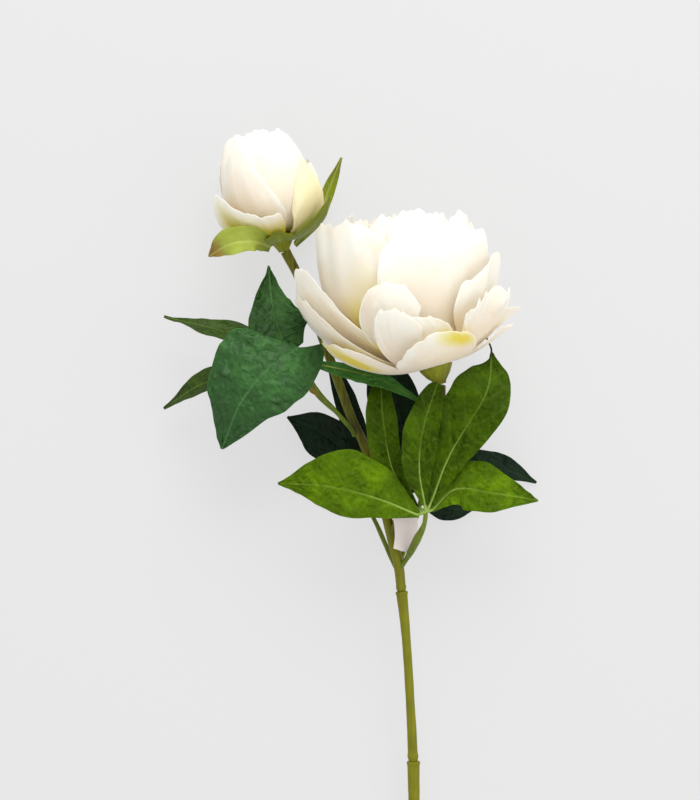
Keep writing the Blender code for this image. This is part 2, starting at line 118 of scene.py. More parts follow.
# A round piece along a smooth route, with its radius from first point to last.
Tube = namedtuple("Tube", "name route radii finish")
TUBES = [
    Tube("stem_lower",
         [(8.0, -205.0, 2.8), (8.4, -170.0, 6.3), (7.8, -135.0, 9.9), (7.2, -103.6, 12.9)],
         [STEM_RADIUS + 0.2, STEM_RADIUS, STEM_RADIUS + 0.1, STEM_RADIUS + 0.5], "stem"),
    Tube("stem_middle",
         [(7.1, -102.8, 12.95), (5.4, -70.0, 16.1), (3.4, -40.0, 19.0), (1.1, -16.9, 21.3)],
         [STEM_RADIUS - 0.1, STEM_RADIUS - 0.4, STEM_RADIUS - 0.4, STEM_RADIUS + 0.2], "stem"),
    Tube("stem_upper",
         [(1.0, -16.2, 21.3), (-0.4, -4.0, 22.5), (-3.4, 9.0, 23.8), (-7.0, 23.0, 25.0)],
         [STEM_RADIUS - 0.3, STEM_RADIUS, STEM_RADIUS + 0.1, STEM_RADIUS - 0.1], "stem"),
    Tube("bud_branch",
         [(-7.8, 25.4, 25.1), (-17.0, 55.0, 26.0), (-24.6, 72.0, 26.0), (-33.0, 95.0, 25.5),
          (-44.6, 127.0, 25.0), (-51.6, 143.5, 26.2), (-57.6, 155.0, 27.4)],
         [BRANCH_RADIUS] * 6 + [BRANCH_RADIUS + 0.3], "branch"),
    Tube("bloom_branch",
         [(-1.2, 19.0, 27.3), (6.0, 42.0, 33.0), (15.5, 66.0, 41.0), (20.0, 80.0, 47.0),
          (20.4, 87.0, 49.4)],
         [BRANCH_RADIUS - 0.2] + [BRANCH_RADIUS] * 4, "branch"),
    Tube("right_leaf_stalk",
         [(3.3, -0.6, 25.8), (5.4, 3.4, 31.0), (8.6, 10.0, 38.0), (12.0, 17.5, 43.5),
          (12.9, 24.0, 45.5)],
         [PETIOLE_RADIUS, PETIOLE_RADIUS + 0.6, PETIOLE_RADIUS + 0.9, PETIOLE_RADIUS,
          PETIOLE_RADIUS - 0.2], "stalk"),
    Tube("back_leaf_stalk",
         [(-3.5, -1.2, 19.0), (-10.6, 15.0, 15.5), (-14.2, 23.5, 13.4), (-15.6, 36.0, 12.2)],
         [PETIOLE_RADIUS] * 3 + [PETIOLE_RADIUS - 0.2], "stalk"),
    Tube("back_right_leaf_stalk",
         [(1.6, 1.6, 19.6), (6.0, 13.0, 17.0), (9.6, 24.0, 15.2), (11.4, 31.6, 14.8)],
         [PETIOLE_RADIUS] * 3 + [PETIOLE_RADIUS - 0.2], "stalk"),
    Tube("left_leaf_stalk",
         [(-24.0, 64.8, 28.6), (-31.5, 73.5, 34.0), (-42.0, 84.5, 41.0), (-50.6, 101.4, 47.6)],
         [PETIOLE_RADIUS - 0.1, PETIOLE_RADIUS, PETIOLE_RADIUS + 0.6, PETIOLE_RADIUS - 0.2],
         "stalk"),
]

# Where each side piece is welded into the stem or branch, which the solids leave a small gap at.
ROOTS = {
    "bloom_branch": (-3.9, 12.0, 24.6),
    "right_leaf_stalk": (0.2, -5.2, 23.0),
    "back_leaf_stalk": (-1.0, -5.6, 21.6),
    "back_right_leaf_stalk": (-0.2, -3.2, 21.8),
    "left_leaf_stalk": (-22.6, 62.4, 26.4),
}
# The thin drawn-out end of the tall leaf, and the stipule on the left leaf's stalk.
TAIL = Tube("right_tall_tail", [(45.0, 101.5, 50.3), (45.6, 105.0, 48.4), (44.2, 109.0, 49.0),
                                (42.2, 112.4, 50.4)], [0.5, 0.42, 0.36, 0.3], "tail")
STIPULE = Tube("left_stipule", [(-40.0, 82.0, 41.6), (-43.6, 84.6, 44.6), (-46.4, 88.4, 46.6),
                                (-48.0, 92.6, 47.8)], [0.4, 1.4, 1.2, 0.3], "stipule")

# A leaflet's blade as the solids have it, then its looks: how far forward its right half is
# drawn, how far its tip is drawn out thin, how much its edge waves and how often, how far its tip
# turns up, and the spacing of its side veins. Millimetres and degrees.
Leaflet = namedtuple(
    "Leaflet",
    "name stalk cloth midrib left right facing fold curl widest foot taper lobes sweep slim "
    "forward drawn wave waves tip_turn veins seed",
    defaults=(1.15, (0.0, 0.0), 0.0, 1.1, 0.0, 0.0, 0.8, 3.0, 0.0, 8.0, 1))
LEAFLETS = [
    Leaflet("left_front_leaf", "left_leaf_stalk", "cool",
            [(-50.4, 106.6, 52.6), (-64.5, 97.0, 59.5), (-79.0, 79.0, 57.5), (-89.0, 55.5, 47.0)],
            22.0, 27.0, [(0.15, 0.35, 0.92), (-0.3, -0.25, 0.9)], 4.0, -16.0, 0.40, 0.2,
            1.0, (0.0, 0.0), 11.0, 0.5, forward=22.0, wave=1.1, waves=4.0, veins=9.0, seed=11),
    Leaflet("left_upper_leaf", "left_leaf_stalk", "deep",
            [(-53.2, 104.8, 45.2), (-59.5, 113.0, 43.5), (-64.0, 128.0, 39.0),
             (-66.0, 147.6, 30.0)],
            16.5, 14.5, [(0.0, 0.25, 0.97), (0.1, 0.3, 0.95)], 10.0, 4.0, 0.34, 0.4, 1.4,
            wave=1.0, waves=3.0, veins=6.0, seed=12),
    Leaflet("left_far_leaf", "left_leaf_stalk", "olive_deep",
            [(-56.0, 101.8, 41.0), (-76.0, 111.5, 34.5), (-98.0, 117.0, 31.0),
             (-119.0, 122.0, 24.0)],
            8.0, 5.6, [(0.05, 0.60, 0.80), (0.0, 0.75, 0.65)], 10.0, 6.0, 0.45, 0.1, 1.3,
            wave=0.8, waves=2.0, seed=13),
    Leaflet("left_low_leaf", "left_leaf_stalk", "olive_deep",
            [(-54.6, 97.6, 43.5), (-76.0, 96.0, 35.5), (-100.0, 88.0, 27.0), (-119.5, 75.5, 12.0)],
            6.0, 6.0, [(-0.2, 0.45, 0.87), (-0.2, 0.4, 0.9)], 10.0, 6.0, 0.55, 0.1,
            wave=0.5, seed=14),
    Leaflet("under_bloom_leaf", "left_leaf_stalk", "cool_olive",
            [(-46.8, 99.0, 46.4), (-26.0, 94.8, 48.5), (-8.0, 89.4, 51.0), (11.0, 78.6, 54.0)],
            4.0, 6.2, [(0.1, 0.3, 0.95), (0.5, 0.62, 0.60)], 6.0, 4.0, 0.6, 0.15,
            wave=0.5, seed=15),
    Leaflet("left_back_leaf", "back_leaf_stalk", "shade",
            [(-18.0, 39.0, 12.5), (-29.0, 54.0, 11.5), (-43.0, 65.0, 9.0), (-57.0, 71.4, 3.0)],
            12.0, 11.0, [(0.0, 0.0, 1.0), (-0.2, 0.1, 1.0)], 8.0, 4.0, 0.45, 0.15, wave=0.5,
            seed=16),
    Leaflet("back_middle_leaf", "back_leaf_stalk", "shade",
            [(-16.0, 39.5, 15.0), (-22.0, 62.0, 17.5), (-29.0, 84.0, 17.0), (-37.0, 104.0, 14.0)],
            5.5, 6.0, [(0.0, 0.0, 1.0), (0.0, 0.1, 1.0)], 8.0, 4.0, 0.5, 0.15, seed=17),
    Leaflet("back_tall_leaf", "back_right_leaf_stalk", "shade",
            [(8.0, 33.0, 19.0), (5.5, 52.0, 18.0), (-1.5, 80.0, 14.5), (-11.0, 108.0, 7.5)],
            14.5, 11.5, [(0.0, 0.0, 1.0), (0.0, 0.1, 1.0)], 8.0, 4.0, 0.68, 0.15, seed=18),
    Leaflet("back_right_leaf", "back_right_leaf_stalk", "shade",
            [(14.2, 34.6, 14.8), (32.0, 46.0, 12.0), (52.0, 45.0, 7.5), (70.3, 37.8, 1.2)],
            8.0, 6.0, [(0.0, 0.0, 1.0), (0.1, 0.2, 1.0)], 8.0, 4.0, 0.5, 0.15, wave=0.5, seed=19),
    Leaflet("back_low_leaf", "back_right_leaf_stalk", "shade",
            [(13.4, 30.4, 13.0), (19.0, 26.0, 10.5), (28.0, 24.0, 7.0), (40.0, 25.5, 1.2)],
            6.0, 5.5, [(0.0, 0.0, 1.0), (0.0, 0.0, 1.0)], 6.0, 4.0, 0.5, 0.2, wave=0.4, seed=20),
    Leaflet("right_low_left_leaf", "right_leaf_stalk", "olive_light",
            [(9.8, 22.2, 46.6), (-13.0, 31.5, 51.5), (-37.0, 37.2, 52.0), (-61.0, 38.2, 42.0)],
            12.5, 19.0, [(0.0, 0.1, 1.0), (-0.1, -0.1, 1.0)], 6.0, -6.0, 0.50, 0.05, 1.2,
            wave=1.0, waves=4.0, veins=11.0, seed=21),
    Leaflet("right_upright_leaf", "right_leaf_stalk", "olive",
            [(8.6, 25.6, 44.2), (-3.6, 45.0, 45.0), (-8.4, 70.0, 47.0), (-9.6, 92.6, 40.0)],
            8.5, 7.0, [(-0.2, 0.0, 0.97), (-0.1, 0.1, 1.0)], 12.0, 6.0, 0.62, 0.12,
            0.55, wave=0.8, seed=22),
    Leaflet("right_inner_leaf", "right_leaf_stalk", "olive",
            [(12.4, 27.6, 48.0), (9.5, 46.0, 55.0), (11.5, 66.0, 59.5), (18.5, 88.5, 56.0)],
            9.5, 8.0, [(-0.1, 0.0, 1.0), (0.0, 0.1, 1.0)], 10.0, 6.0, 0.60, 0.12, 0.5,
            wave=1.4, waves=3.0, veins=9.0, seed=23),
    Leaflet("right_tall_leaf", "right_leaf_stalk", "olive",
            [(15.0, 27.6, 46.6), (25.5, 54.0, 50.5), (42.5, 83.0, 58.0), (45.8, 104.0, 48.0)],
            17.0, 12.5, [(-0.1, 0.0, 1.0), (0.2, 0.3, 0.9)], 6.0, 2.0, 0.62, 0.12,
            drawn=0.75, wave=1.4, waves=3.0, veins=12.0, seed=24),
    Leaflet("right_low_right_leaf", "right_leaf_stalk", "olive_light",
            [(15.8, 24.6, 44.0), (28.4, 35.6, 46.0), (48.0, 33.4, 48.0), (69.3, 29.6, 40.0)],
            13.5, 10.5, [(0.0, 0.0, 1.0), (0.1, 0.1, 1.0)], 4.0, -4.0, 0.50, 0.05, 1.15,
            (0.0, 0.0), 0.0, 1.25, wave=0.9, waves=4.0, veins=8.0, seed=25),
]
LOOSE_SEPALS = [
    Leaflet("sepal_right_far", "", "sepal",
            [(-53.0, 158.6, 22.0), (-42.0, 172.0, 11.0), (-35.5, 188.0, 12.0),
             (-29.3, 202.8, 20.0)],
            3.2, 3.2, [(0.4, -0.3, 0.85), (0.3, 0.0, 0.95)], 10.0, 4.0, 0.55, 0.4,
            wave=0.3, veins=4.0, seed=31),
    Leaflet("sepal_left", "", "sepal",
            [(-64.8, 156.6, 33.2), (-73.0, 159.2, 46.8), (-84.5, 157.8, 48.0),
             (-96.0, 152.0, 38.0)],
            5.0, 8.0, [(0.0, -0.25, 0.97), (0.0, 0.0, 1.0)], 4.0, 6.0, 0.62, 0.4,
            wave=1.0, waves=2.0, veins=5.0, seed=32),
]

# A flower head: its receptacle's place, direction and radius, its calyx's depth, and how far its
# petals bend round to the side (degrees) and shift (mm) above the calyx.
Head = namedtuple(
    "Head", "name seat axis receptacle_radius heart_radius heart_span calyx_depth bend shift")
BLOOM = Head("bloom", (17.5, 97.8, 50.6), (-0.276, 0.961, 0.02), 8.5, 24.0, (13.0, 74.0), 9.0,
             14.0, -4.0)
BUD = Head("bud", (-59.6, 161.5, 27.9), (-0.20, 0.979, 0.03), 6.0, 13.0, (8.5, 48.0), 5.5,
           0.0, 0.0)
BEND_SPAN = (5.0, 35.0)
BEND_MIDDLE = 45.0

# A whorl of petals: where they start on the receptacle (degrees from its top), their lean at foot
# and tip, their length, and how quickly they straighten.
Whorl = namedtuple("Whorl", "start lean_foot lean_tip length straighten")
WHORLS = {
    "bloom_guard_petal": Whorl(94.0, 91.0, 26.0, 55.0, 1.0),
    "bloom_outer_petal": Whorl(83.0, 86.0, 14.0, 66.0, 1.25),
    "bloom_second_petal": Whorl(70.0, 82.0, 4.0, 74.0, 1.4),
    "bloom_third_petal": Whorl(57.0, 77.0, -3.0, 80.0, 1.6),
    "bloom_fourth_petal": Whorl(46.0, 74.0, -6.0, 80.0, 1.7),
    "bloom_fifth_petal": Whorl(38.0, 70.0, -10.0, 80.0, 1.9),
    "bud_outer_petal": Whorl(84.0, 88.0, -16.0, 55.0, 1.6),
    "bud_inner_petal": Whorl(62.0, 78.0, -25.0, 61.0, 1.7),
    "bud_fold_petal": Whorl(62.0, 78.0, -25.0, 61.0, 1.7),
    "bud_heart_petal": Whorl(52.0, 74.0, -28.0, 60.0, 1.8),
}
# Whorls that have no solids of their own: the hearts' solids stand for them.
INNER_WHORLS = ("bloom_fourth_petal", "bloom_fifth_petal", "bud_fold_petal", "bud_heart_petal")
# A petal's place round its head (0 up, 90 towards +X), half its spread and its share of the
# whorl's length, then its looks: how far it twists to its tip, how far it stands off its whorl,
# how blunt its outline is and how much shorter its sides are, where its tip stands across it, how
# far its edge waves and how often, how deep and how many its nicks are, how far its tip and its
# sides curl out and its tip droops, how far the green of its foot runs up it, and its yellow
# patches (place along, place across, size, strength).
Petal = namedtuple(
    "Petal",
    "whorl place spread share twist lift blunt shorter skew wave waves nick nicks curl flare droop "
    "green glow",
    defaults=(0.0, 0.0, 2.5, 0.22, 0.0, 0.9, 3.0, 0.9, 7.0, 0.0, 0.4, 0.0, 0.0, ()))
PETALS = {
    "bloom": [
        Petal("bloom_guard_petal", -66, 24, 0.80, wave=0.4, curl=1.0, droop=-2.0,
              glow=((0.75, -0.05, 0.24, 1.3),)),
        Petal("bloom_guard_petal", 2, 42, 0.76, wave=0.6, lift=1.0, curl=0.5, shorter=0.42,
              skew=0.25, blunt=2.0, glow=((0.84, 0.5, 0.17, 1.1),)),
        Petal("bloom_guard_petal", 84, 30, 0.60, wave=1.8, nick=1.2, nicks=4, curl=1.5),
        Petal("bloom_guard_petal", 146, 26, 0.84),
        Petal("bloom_guard_petal", -166, 20, 0.88),
        Petal("bloom_guard_petal", -122, 20, 0.92),
        Petal("bloom_outer_petal", -76, 28, 0.90, nick=1.6, nicks=9, wave=0.9, curl=3.0),
        Petal("bloom_outer_petal", -36, 16, 0.78, twist=26, blunt=3.0, wave=0.5, curl=0.6,
              lift=1.6),
        Petal("bloom_outer_petal", 2, 22, 0.70, wave=0.5, blunt=4.0, shorter=0.15,
              glow=((0.45, 0.85, 0.3, 1.1),)),
        Petal("bloom_outer_petal", 62, 34, 0.90, wave=4.2, waves=7.0, nick=3.0, nicks=7, lift=2.0,
              curl=1.0, flare=2.0),
        Petal("bloom_outer_petal", 164, 45, 0.88, lift=-0.7, wave=0.3),
        Petal("bloom_second_petal", -67, 32, 0.93, blunt=1.5, shorter=0.34, wave=0.8, curl=7.0,
              glow=((0.3, 0.9, 0.3, 0.8),)),
        Petal("bloom_second_petal", -34, 22, 0.80, twist=24, lift=1.0, wave=0.5, curl=0.4,
              glow=((0.4, -0.95, 0.16, 1.4),)),
        Petal("bloom_second_petal", 66, 34, 0.98, wave=1.2, blunt=2.0, skew=0.3, curl=0.5),
        Petal("bloom_second_petal", 150, 36, 0.90),
        Petal("bloom_second_petal", -143, 24, 1.0),
        Petal("bloom_third_petal", -56, 52, 1.04, blunt=5.0, shorter=0.14, wave=1.2, waves=4.0,
              nick=1.5, nicks=6, glow=((0.34, 0.35, 0.2, 1.1), (0.5, 0.7, 0.3, 0.45))),
        Petal("bloom_third_petal", 30, 50, 1.0, lift=1.2, blunt=5.0, shorter=0.14, wave=1.8,
              waves=4.0, nick=1.6, nicks=5),
        Petal("bloom_third_petal", 122, 48, 0.94, wave=1.2, nick=1.2),
        Petal("bloom_third_petal", -148, 42, 1.02, wave=1.2, nick=1.2),
        Petal("bloom_fourth_petal", -98, 36, 0.98, wave=1.6, nick=2.2, nicks=7),
        Petal("bloom_fourth_petal", -42, 36, 0.94, wave=1.6, nick=2.2, nicks=6),
        Petal("bloom_fourth_petal", 10, 30, 1.06, wave=1.6, nick=1.4, nicks=5, blunt=3.0),
        Petal("bloom_fourth_petal", 56, 36, 1.03, wave=1.6, nick=2.2, nicks=5),
        Petal("bloom_fourth_petal", 108, 36, 0.98, wave=1.6, nick=2.2),
        Petal("bloom_fourth_petal", 160, 38, 1.0, wave=1.6, nick=2.2),
        Petal("bloom_fourth_petal", -150, 36, 1.02, wave=1.6, nick=2.2),
        Petal("bloom_fifth_petal", -72, 40, 0.94, wave=2.0, nick=1.6, nicks=7),
        Petal("bloom_fifth_petal", -14, 38, 0.98, wave=2.0, nick=1.6, nicks=6),
        Petal("bloom_fifth_petal", 34, 38, 1.0, wave=2.0, nick=1.6),
        Petal("bloom_fifth_petal", 84, 40, 0.98, wave=2.0, nick=1.6),
        Petal("bloom_fifth_petal", 136, 38, 0.96, wave=2.0, nick=1.6),
        Petal("bloom_fifth_petal", -165, 40, 1.0, wave=2.0, nick=1.6),
        Petal("bloom_fifth_petal", -118, 38, 1.0, wave=2.0, nick=1.6),
    ],
    "bud": [
        Petal("bud_outer_petal", -38, 48, 0.72, lift=2.0, blunt=1.1, shorter=0.45, skew=-0.6,
              wave=0.4, curl=2.5, green=1.8),
        Petal("bud_outer_petal", 66, 40, 0.86, twist=-8, wave=0.6, blunt=1.6, shorter=0.5,
              skew=-0.3, curl=-3.6, glow=((0.7, -0.3, 1.2, 0.42),)),
        Petal("bud_outer_petal", 180, 50, 0.80, lift=-0.8, wave=0.3),
        Petal("bud_inner_petal", -22, 66, 1.0, blunt=4.0, shorter=0.15, wave=0.9, waves=4.0,
              nick=1.4, nicks=5),
        Petal("bud_inner_petal", 98, 62, 0.68, blunt=1.8, wave=0.7, nick=1.0, curl=-2.5),
        Petal("bud_inner_petal", -144, 56, 0.98, wave=0.9, nick=1.2),
        Petal("bud_fold_petal", -36, 53, 0.90, lift=1.0, blunt=1.6, shorter=0.62, skew=-0.1,
              wave=0.7, nick=0.8, nicks=4),
        Petal("bud_heart_petal", 30, 50, 0.96, wave=0.8, blunt=3.5, shorter=0.2, nick=1.2),
    ],
}

Sepal = namedtuple("Sepal", "name place spread length lean_foot lean_tip")
SEPALS = [
    Sepal("sepal_right", 56, 36, 33.0, 84.0, 34.0),
    Sepal("sepal_front", -4, 40, 16.0, 90.0, 50.0),
    Sepal("sepal_back", -160, 30, 19.0, 92.0, 56.0),
]

TAG_MIDDLE = [(1.8, 25.5, 35.0), (2.9, 18.0, 34.0), (2.6, 10.0, 31.0), (0.8, 4.0, 28.8)]
TAG_ACROSS = (0.90, -0.28, -0.33)
TAG_HALF_WIDTHS = (8.0, 4.4)


def linear(code):
    """The linear colour of an sRGB hex code, as a tuple of three."""
    parts = [int(code[i:i + 2], 16) / 255 for i in (1, 3, 5)]
    return tuple(p / 12.92 if p <= 0.04045 else ((p + 0.055) / 1.055) ** 2.4 for p in parts)


def unit(vector):
    vector = np.asarray(vector, float)
    return vector / np.linalg.norm(vector, axis=-1, keepdims=True)


def layout_shift():
    """Offset of the layout from the frame's origin, in mm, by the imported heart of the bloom."""
    low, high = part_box("bloom_heart")
    centre = np.array((low + high) / 2) / MM
    return centre - (np.array(BLOOM.seat) + unit(BLOOM.axis) * sum(BLOOM.heart_span) / 2)


SHIFT = layout_shift()


def to_frame(points):
    """Layout millimetres to the frame's metres."""
    return (np.asarray(points) + SHIFT) * MM


# ---------------------------------------------------------------- settings

def colour_property(name, description, code):
    return bpy.props.FloatVectorProperty(
        name=name, description=description, subtype="COLOR", size=3, min=0.0, max=1.0,
        default=linear(code))


class PetalSettings(bpy.types.PropertyGroup):
    """Sizes and colours of the petals."""
    thickness: bpy.props.FloatProperty(
        name="Thickness", description="Thickness of the petal cloth",
        default=0.35 * MM, unit="LENGTH")
    inner_count: bpy.props.IntProperty(
        name="Inner petals", description="Petals packed in the middle of the bloom", default=30)
    bud_inner_count: bpy.props.IntProperty(
        name="Bud inner petals", description="Petals packed in the middle of the bud", default=12)
    ruffle: bpy.props.FloatProperty(
        name="Ruffle", description="How far the packed petals' edges wave",
        default=2.6 * MM, unit="LENGTH")
    stamens: bpy.props.IntProperty(
        name="Stamens", description="Stamens in the middle of the bloom", default=70)
    cream: colour_property("Cream", "The body of a petal", "#fff8ea")
    pale: colour_property("Pale tip", "The outer part of a petal", "#fffef8")
    foot: colour_property("Foot", "The dyed foot of a petal", "#d9cf4a")
    glow: colour_property("Yellow", "The dyed patches of a petal", "#f6ea58")
    blush: colour_property("Blush", "The warm shade that drifts over a petal", "#fdf0e0")


class LeafSettings(bpy.types.PropertyGroup):
    """Sizes and colours of the leaves."""
    thickness: bpy.props.FloatProperty(
        name="Thickness", description="Thickness of the leaf cloth",
        default=0.4 * MM, unit="LENGTH")
    vein_depth: bpy.props.FloatProperty(
        name="Vein depth", description="How deep the veins are pressed into the cloth",
        default=0.35 * MM, unit="LENGTH")
    olive: colour_property("Olive", "The right leaves", "#2c4200")
    cool: colour_property("Cool green", "The front left leaf", "#1a4214")
    deep: colour_property("Deep green", "The upper left leaf", "#14300d")
    # The near-black green of the leaves behind is painted shade, for leaves that lie in shadow.
    shade: colour_property("Shade green", "The leaves behind", "#0c1c0c")
    vein: colour_property("Vein", "The printed veins", "#86a03c")


class StemSettings(bpy.types.PropertyGroup):
    """Sizes and colours of the moulded stem."""
    ridge_height: bpy.props.FloatProperty(
        name="Ridge height", description="Height of the fine ridges along the stem",
        default=0.07 * MM, unit="LENGTH")
    ridges: bpy.props.IntProperty(name="Ridges", description="Ridges round the stem", default=9)
    sides: bpy.props.IntProperty(name="Sides", description="Faces round the stem", default=36)
    olive: colour_property("Olive", "The stem's plastic", "#767604")
    brown: colour_property("Brown", "The browner tint on the branches", "#3c390c")


class StageSettings(bpy.types.PropertyGroup):
    """The camera, floor and lights."""
    camera_height: bpy.props.FloatProperty(
        name="Camera height", description="Height of the camera above the flowers",
        default=2.0, unit="LENGTH")
    lens: bpy.props.FloatProperty(name="Lens", description="Focal length in mm", default=180.0)
    floor: colour_property("Floor", "The floor under the spray", "#686868")
    key_power: bpy.props.FloatProperty(name="Key", description="Power of the key light",
                                       default=13.0, unit="POWER")
    fill: bpy.props.FloatProperty(name="Fill", description="Strength of the light all round",
                                  default=0.82)
    floor_glow: bpy.props.FloatProperty(
        name="Floor glow", description="How strongly the backlit floor shines by itself",
        default=0.63)


# ---------------------------------------------------------------- nodes and materials

def opaque(colour):
    return (*colour, 1.0)


class Nodes:
    """Builds a node tree. Each method adds a node and returns the output that is used."""

    def __init__(self, tree):
        self.tree = tree

    def add(self, kind, links=None, output=0, **settings):
        """Adds a node with its settings, and gives its inputs a link or a value each."""
        node = self.tree.nodes.new(kind)
        for name, value in settings.items():
            setattr(node, name, value)
        for key, value in (links or {}).items():
            if isinstance(value, bpy.types.NodeSocket):
                self.tree.links.new(value, node.inputs[key])
            else:
                node.inputs[key].default_value = value
        return node.outputs[output] if node.outputs else None

    def attribute(self, name, output="Fac"):
        return self.add("ShaderNodeAttribute", output=output, attribute_name=name)

    def place(self):
        """The place on the cloth in millimetres."""
        return self.attribute("cloth", "Vector")

    def uv(self):
        """The place along the cloth and the place across it, each 0 to 1."""
        uv = self.add("ShaderNodeUVMap", uv_map="UVMap")
        return self.add("ShaderNodeSeparateXYZ", {0: uv}).node.outputs[:2]

    def math(self, operation, *values):
        return self.add("ShaderNodeMath", dict(enumerate(values)), operation=operation)

    def vector_math(self, operation, *values):
        return self.add("ShaderNodeVectorMath", dict(enumerate(values)), operation=operation)

    def scaled(self, vector, scale):
        return self.add("ShaderNodeVectorMath", {0: vector, "Scale": scale}, operation="SCALE")

    def stretched(self, vector, scales):
        return self.add("ShaderNodeMapping", {"Vector": vector, "Scale": scales})

    def span(self, value, low=0.0, high=1.0, first=0.0, last=1.0):
        """A value that runs from low to high, made to run from first to last."""
        return self.add("ShaderNodeMapRange", {"Value": value, "From Min": low, "From Max": high,
                                               "To Min": first, "To Max": last})

    def noise(self, vector, scale, detail=2.0, roughness=0.5, output="Fac", **settings):
        links = {"Scale": scale, "Detail": detail, "Roughness": roughness}
        if vector is not None:
            links["Vector"] = vector
        return self.add("ShaderNodeTexNoise", links, output, **settings)

    def blend(self, share, first, second):
        """Two colours mixed, with the given share of the second."""
        first, second = (colour if isinstance(colour, bpy.types.NodeSocket) else opaque(colour)
                         for colour in (first, second))
        return self.add("ShaderNodeMix", {0: share, 6: first, 7: second}, 2, data_type="RGBA")

    def ramp(self, value, stops):
        """A colour ramp with its stops, each a place and a colour."""
        colour = self.add("ShaderNodeValToRGB", {"Fac": value}, "Color")
        elements = colour.node.color_ramp.elements
        while len(elements) < len(stops):
            elements.new(0.5)
        for element, (place, stop) in zip(elements, stops):
            element.position = place
            element.color = opaque(stop)
        return colour

    def bump(self, height, distance, strength, normal=None):
        links = {"Height": height, "Distance": distance * MM, "Strength": strength}
        if normal is not None:
            links["Normal"] = normal
        return self.add("ShaderNodeBump", links)

    def surface(self, colour, roughness, **links):
        return self.add("ShaderNodeBsdfPrincipled",
                        {"Base Color": colour, "Roughness": roughness, **links})

    def cloth(self, surface, colour, share, **links):
        """A surface of cloth that lets a share of the light through."""
        through = self.add("ShaderNodeBsdfTranslucent", {"Color": colour, **links})
        return self.add("ShaderNodeMixShader", {0: share, 1: surface, 2: through})

    def output(self, surface):
        self.add("ShaderNodeOutputMaterial", {"Surface": surface})


def new_material(name):
    """An empty node material, and the builder of its nodes."""
    material = bpy.data.materials.new(name)
    material.use_nodes = True
    material.node_tree.nodes.clear()
    return material, Nodes(material.node_tree)


def petal_cloth(name, colours):
    """Polyester voile, dyed from the foot up and pressed in ribbed moulds.

    Thin and slightly see-through, matt with a soft sheen, with faint lengthwise crinkles. The real
    weave of about 8 threads a millimetre is too fine to show, so its grain is drawn at 0.5 mm.
    """
    material, nodes = new_material(name)
    along, _ = nodes.uv()
    cloth = nodes.place()
    # Crinkles: 14 mm long and 1.1 mm apart.
    crinkle = nodes.noise(nodes.stretched(cloth, (1 / 14, 1 / 1.1, 1.0)), 1.0, 3.0, 0.55)
    # The dye runs up the petal in uneven fingers.
    dye = nodes.ramp(nodes.math("MULTIPLY_ADD", crinkle, 0.16, along),
                     [(0.08, colours.foot), (0.22, colours.cream), (0.60, colours.cream),
                      (0.92, colours.pale)])
    # Blush clouds about 16 mm across.
    clouds = nodes.noise(cloth, 1 / 16)
    blushed = nodes.blend(nodes.span(clouds, 0.45, 0.75, 0.0, 0.55), dye, colours.blush)
    fingers = nodes.math("MULTIPLY_ADD", crinkle, 0.5, 0.25)
    glow = nodes.math("MULTIPLY", nodes.attribute("glow"), fingers)
    glowing = nodes.blend(nodes.span(glow, 0.08, 0.5, 0.0, 0.95), blushed, colours.glow)
    coloured = nodes.blend(nodes.attribute("green"), glowing, colours.foot)
    grain = nodes.bump(nodes.noise(cloth, 2.0, 1.0), 0.03, 0.5)
    ribs = nodes.bump(crinkle, 0.30, 0.55, grain)
    surface = nodes.surface(coloured, 0.72, Normal=ribs, **{
        "Sheen Weight": 0.15, "Sheen Roughness": 0.5, "Specular IOR Level": 0.3})
    nodes.output(nodes.cloth(surface, coloured, 0.46, Normal=ribs))
    return material


# A leaf cloth: its ground, the darker and lighter clouds on it, its veins, how strongly they are
# printed, how much of the finer net of veins shows, its shine and how much painted shade darkens
# its tip.
LeafCloth = namedtuple("LeafCloth", "ground dark light vein vein_share net sheen tip_dark",
                       defaults=(0.25,))


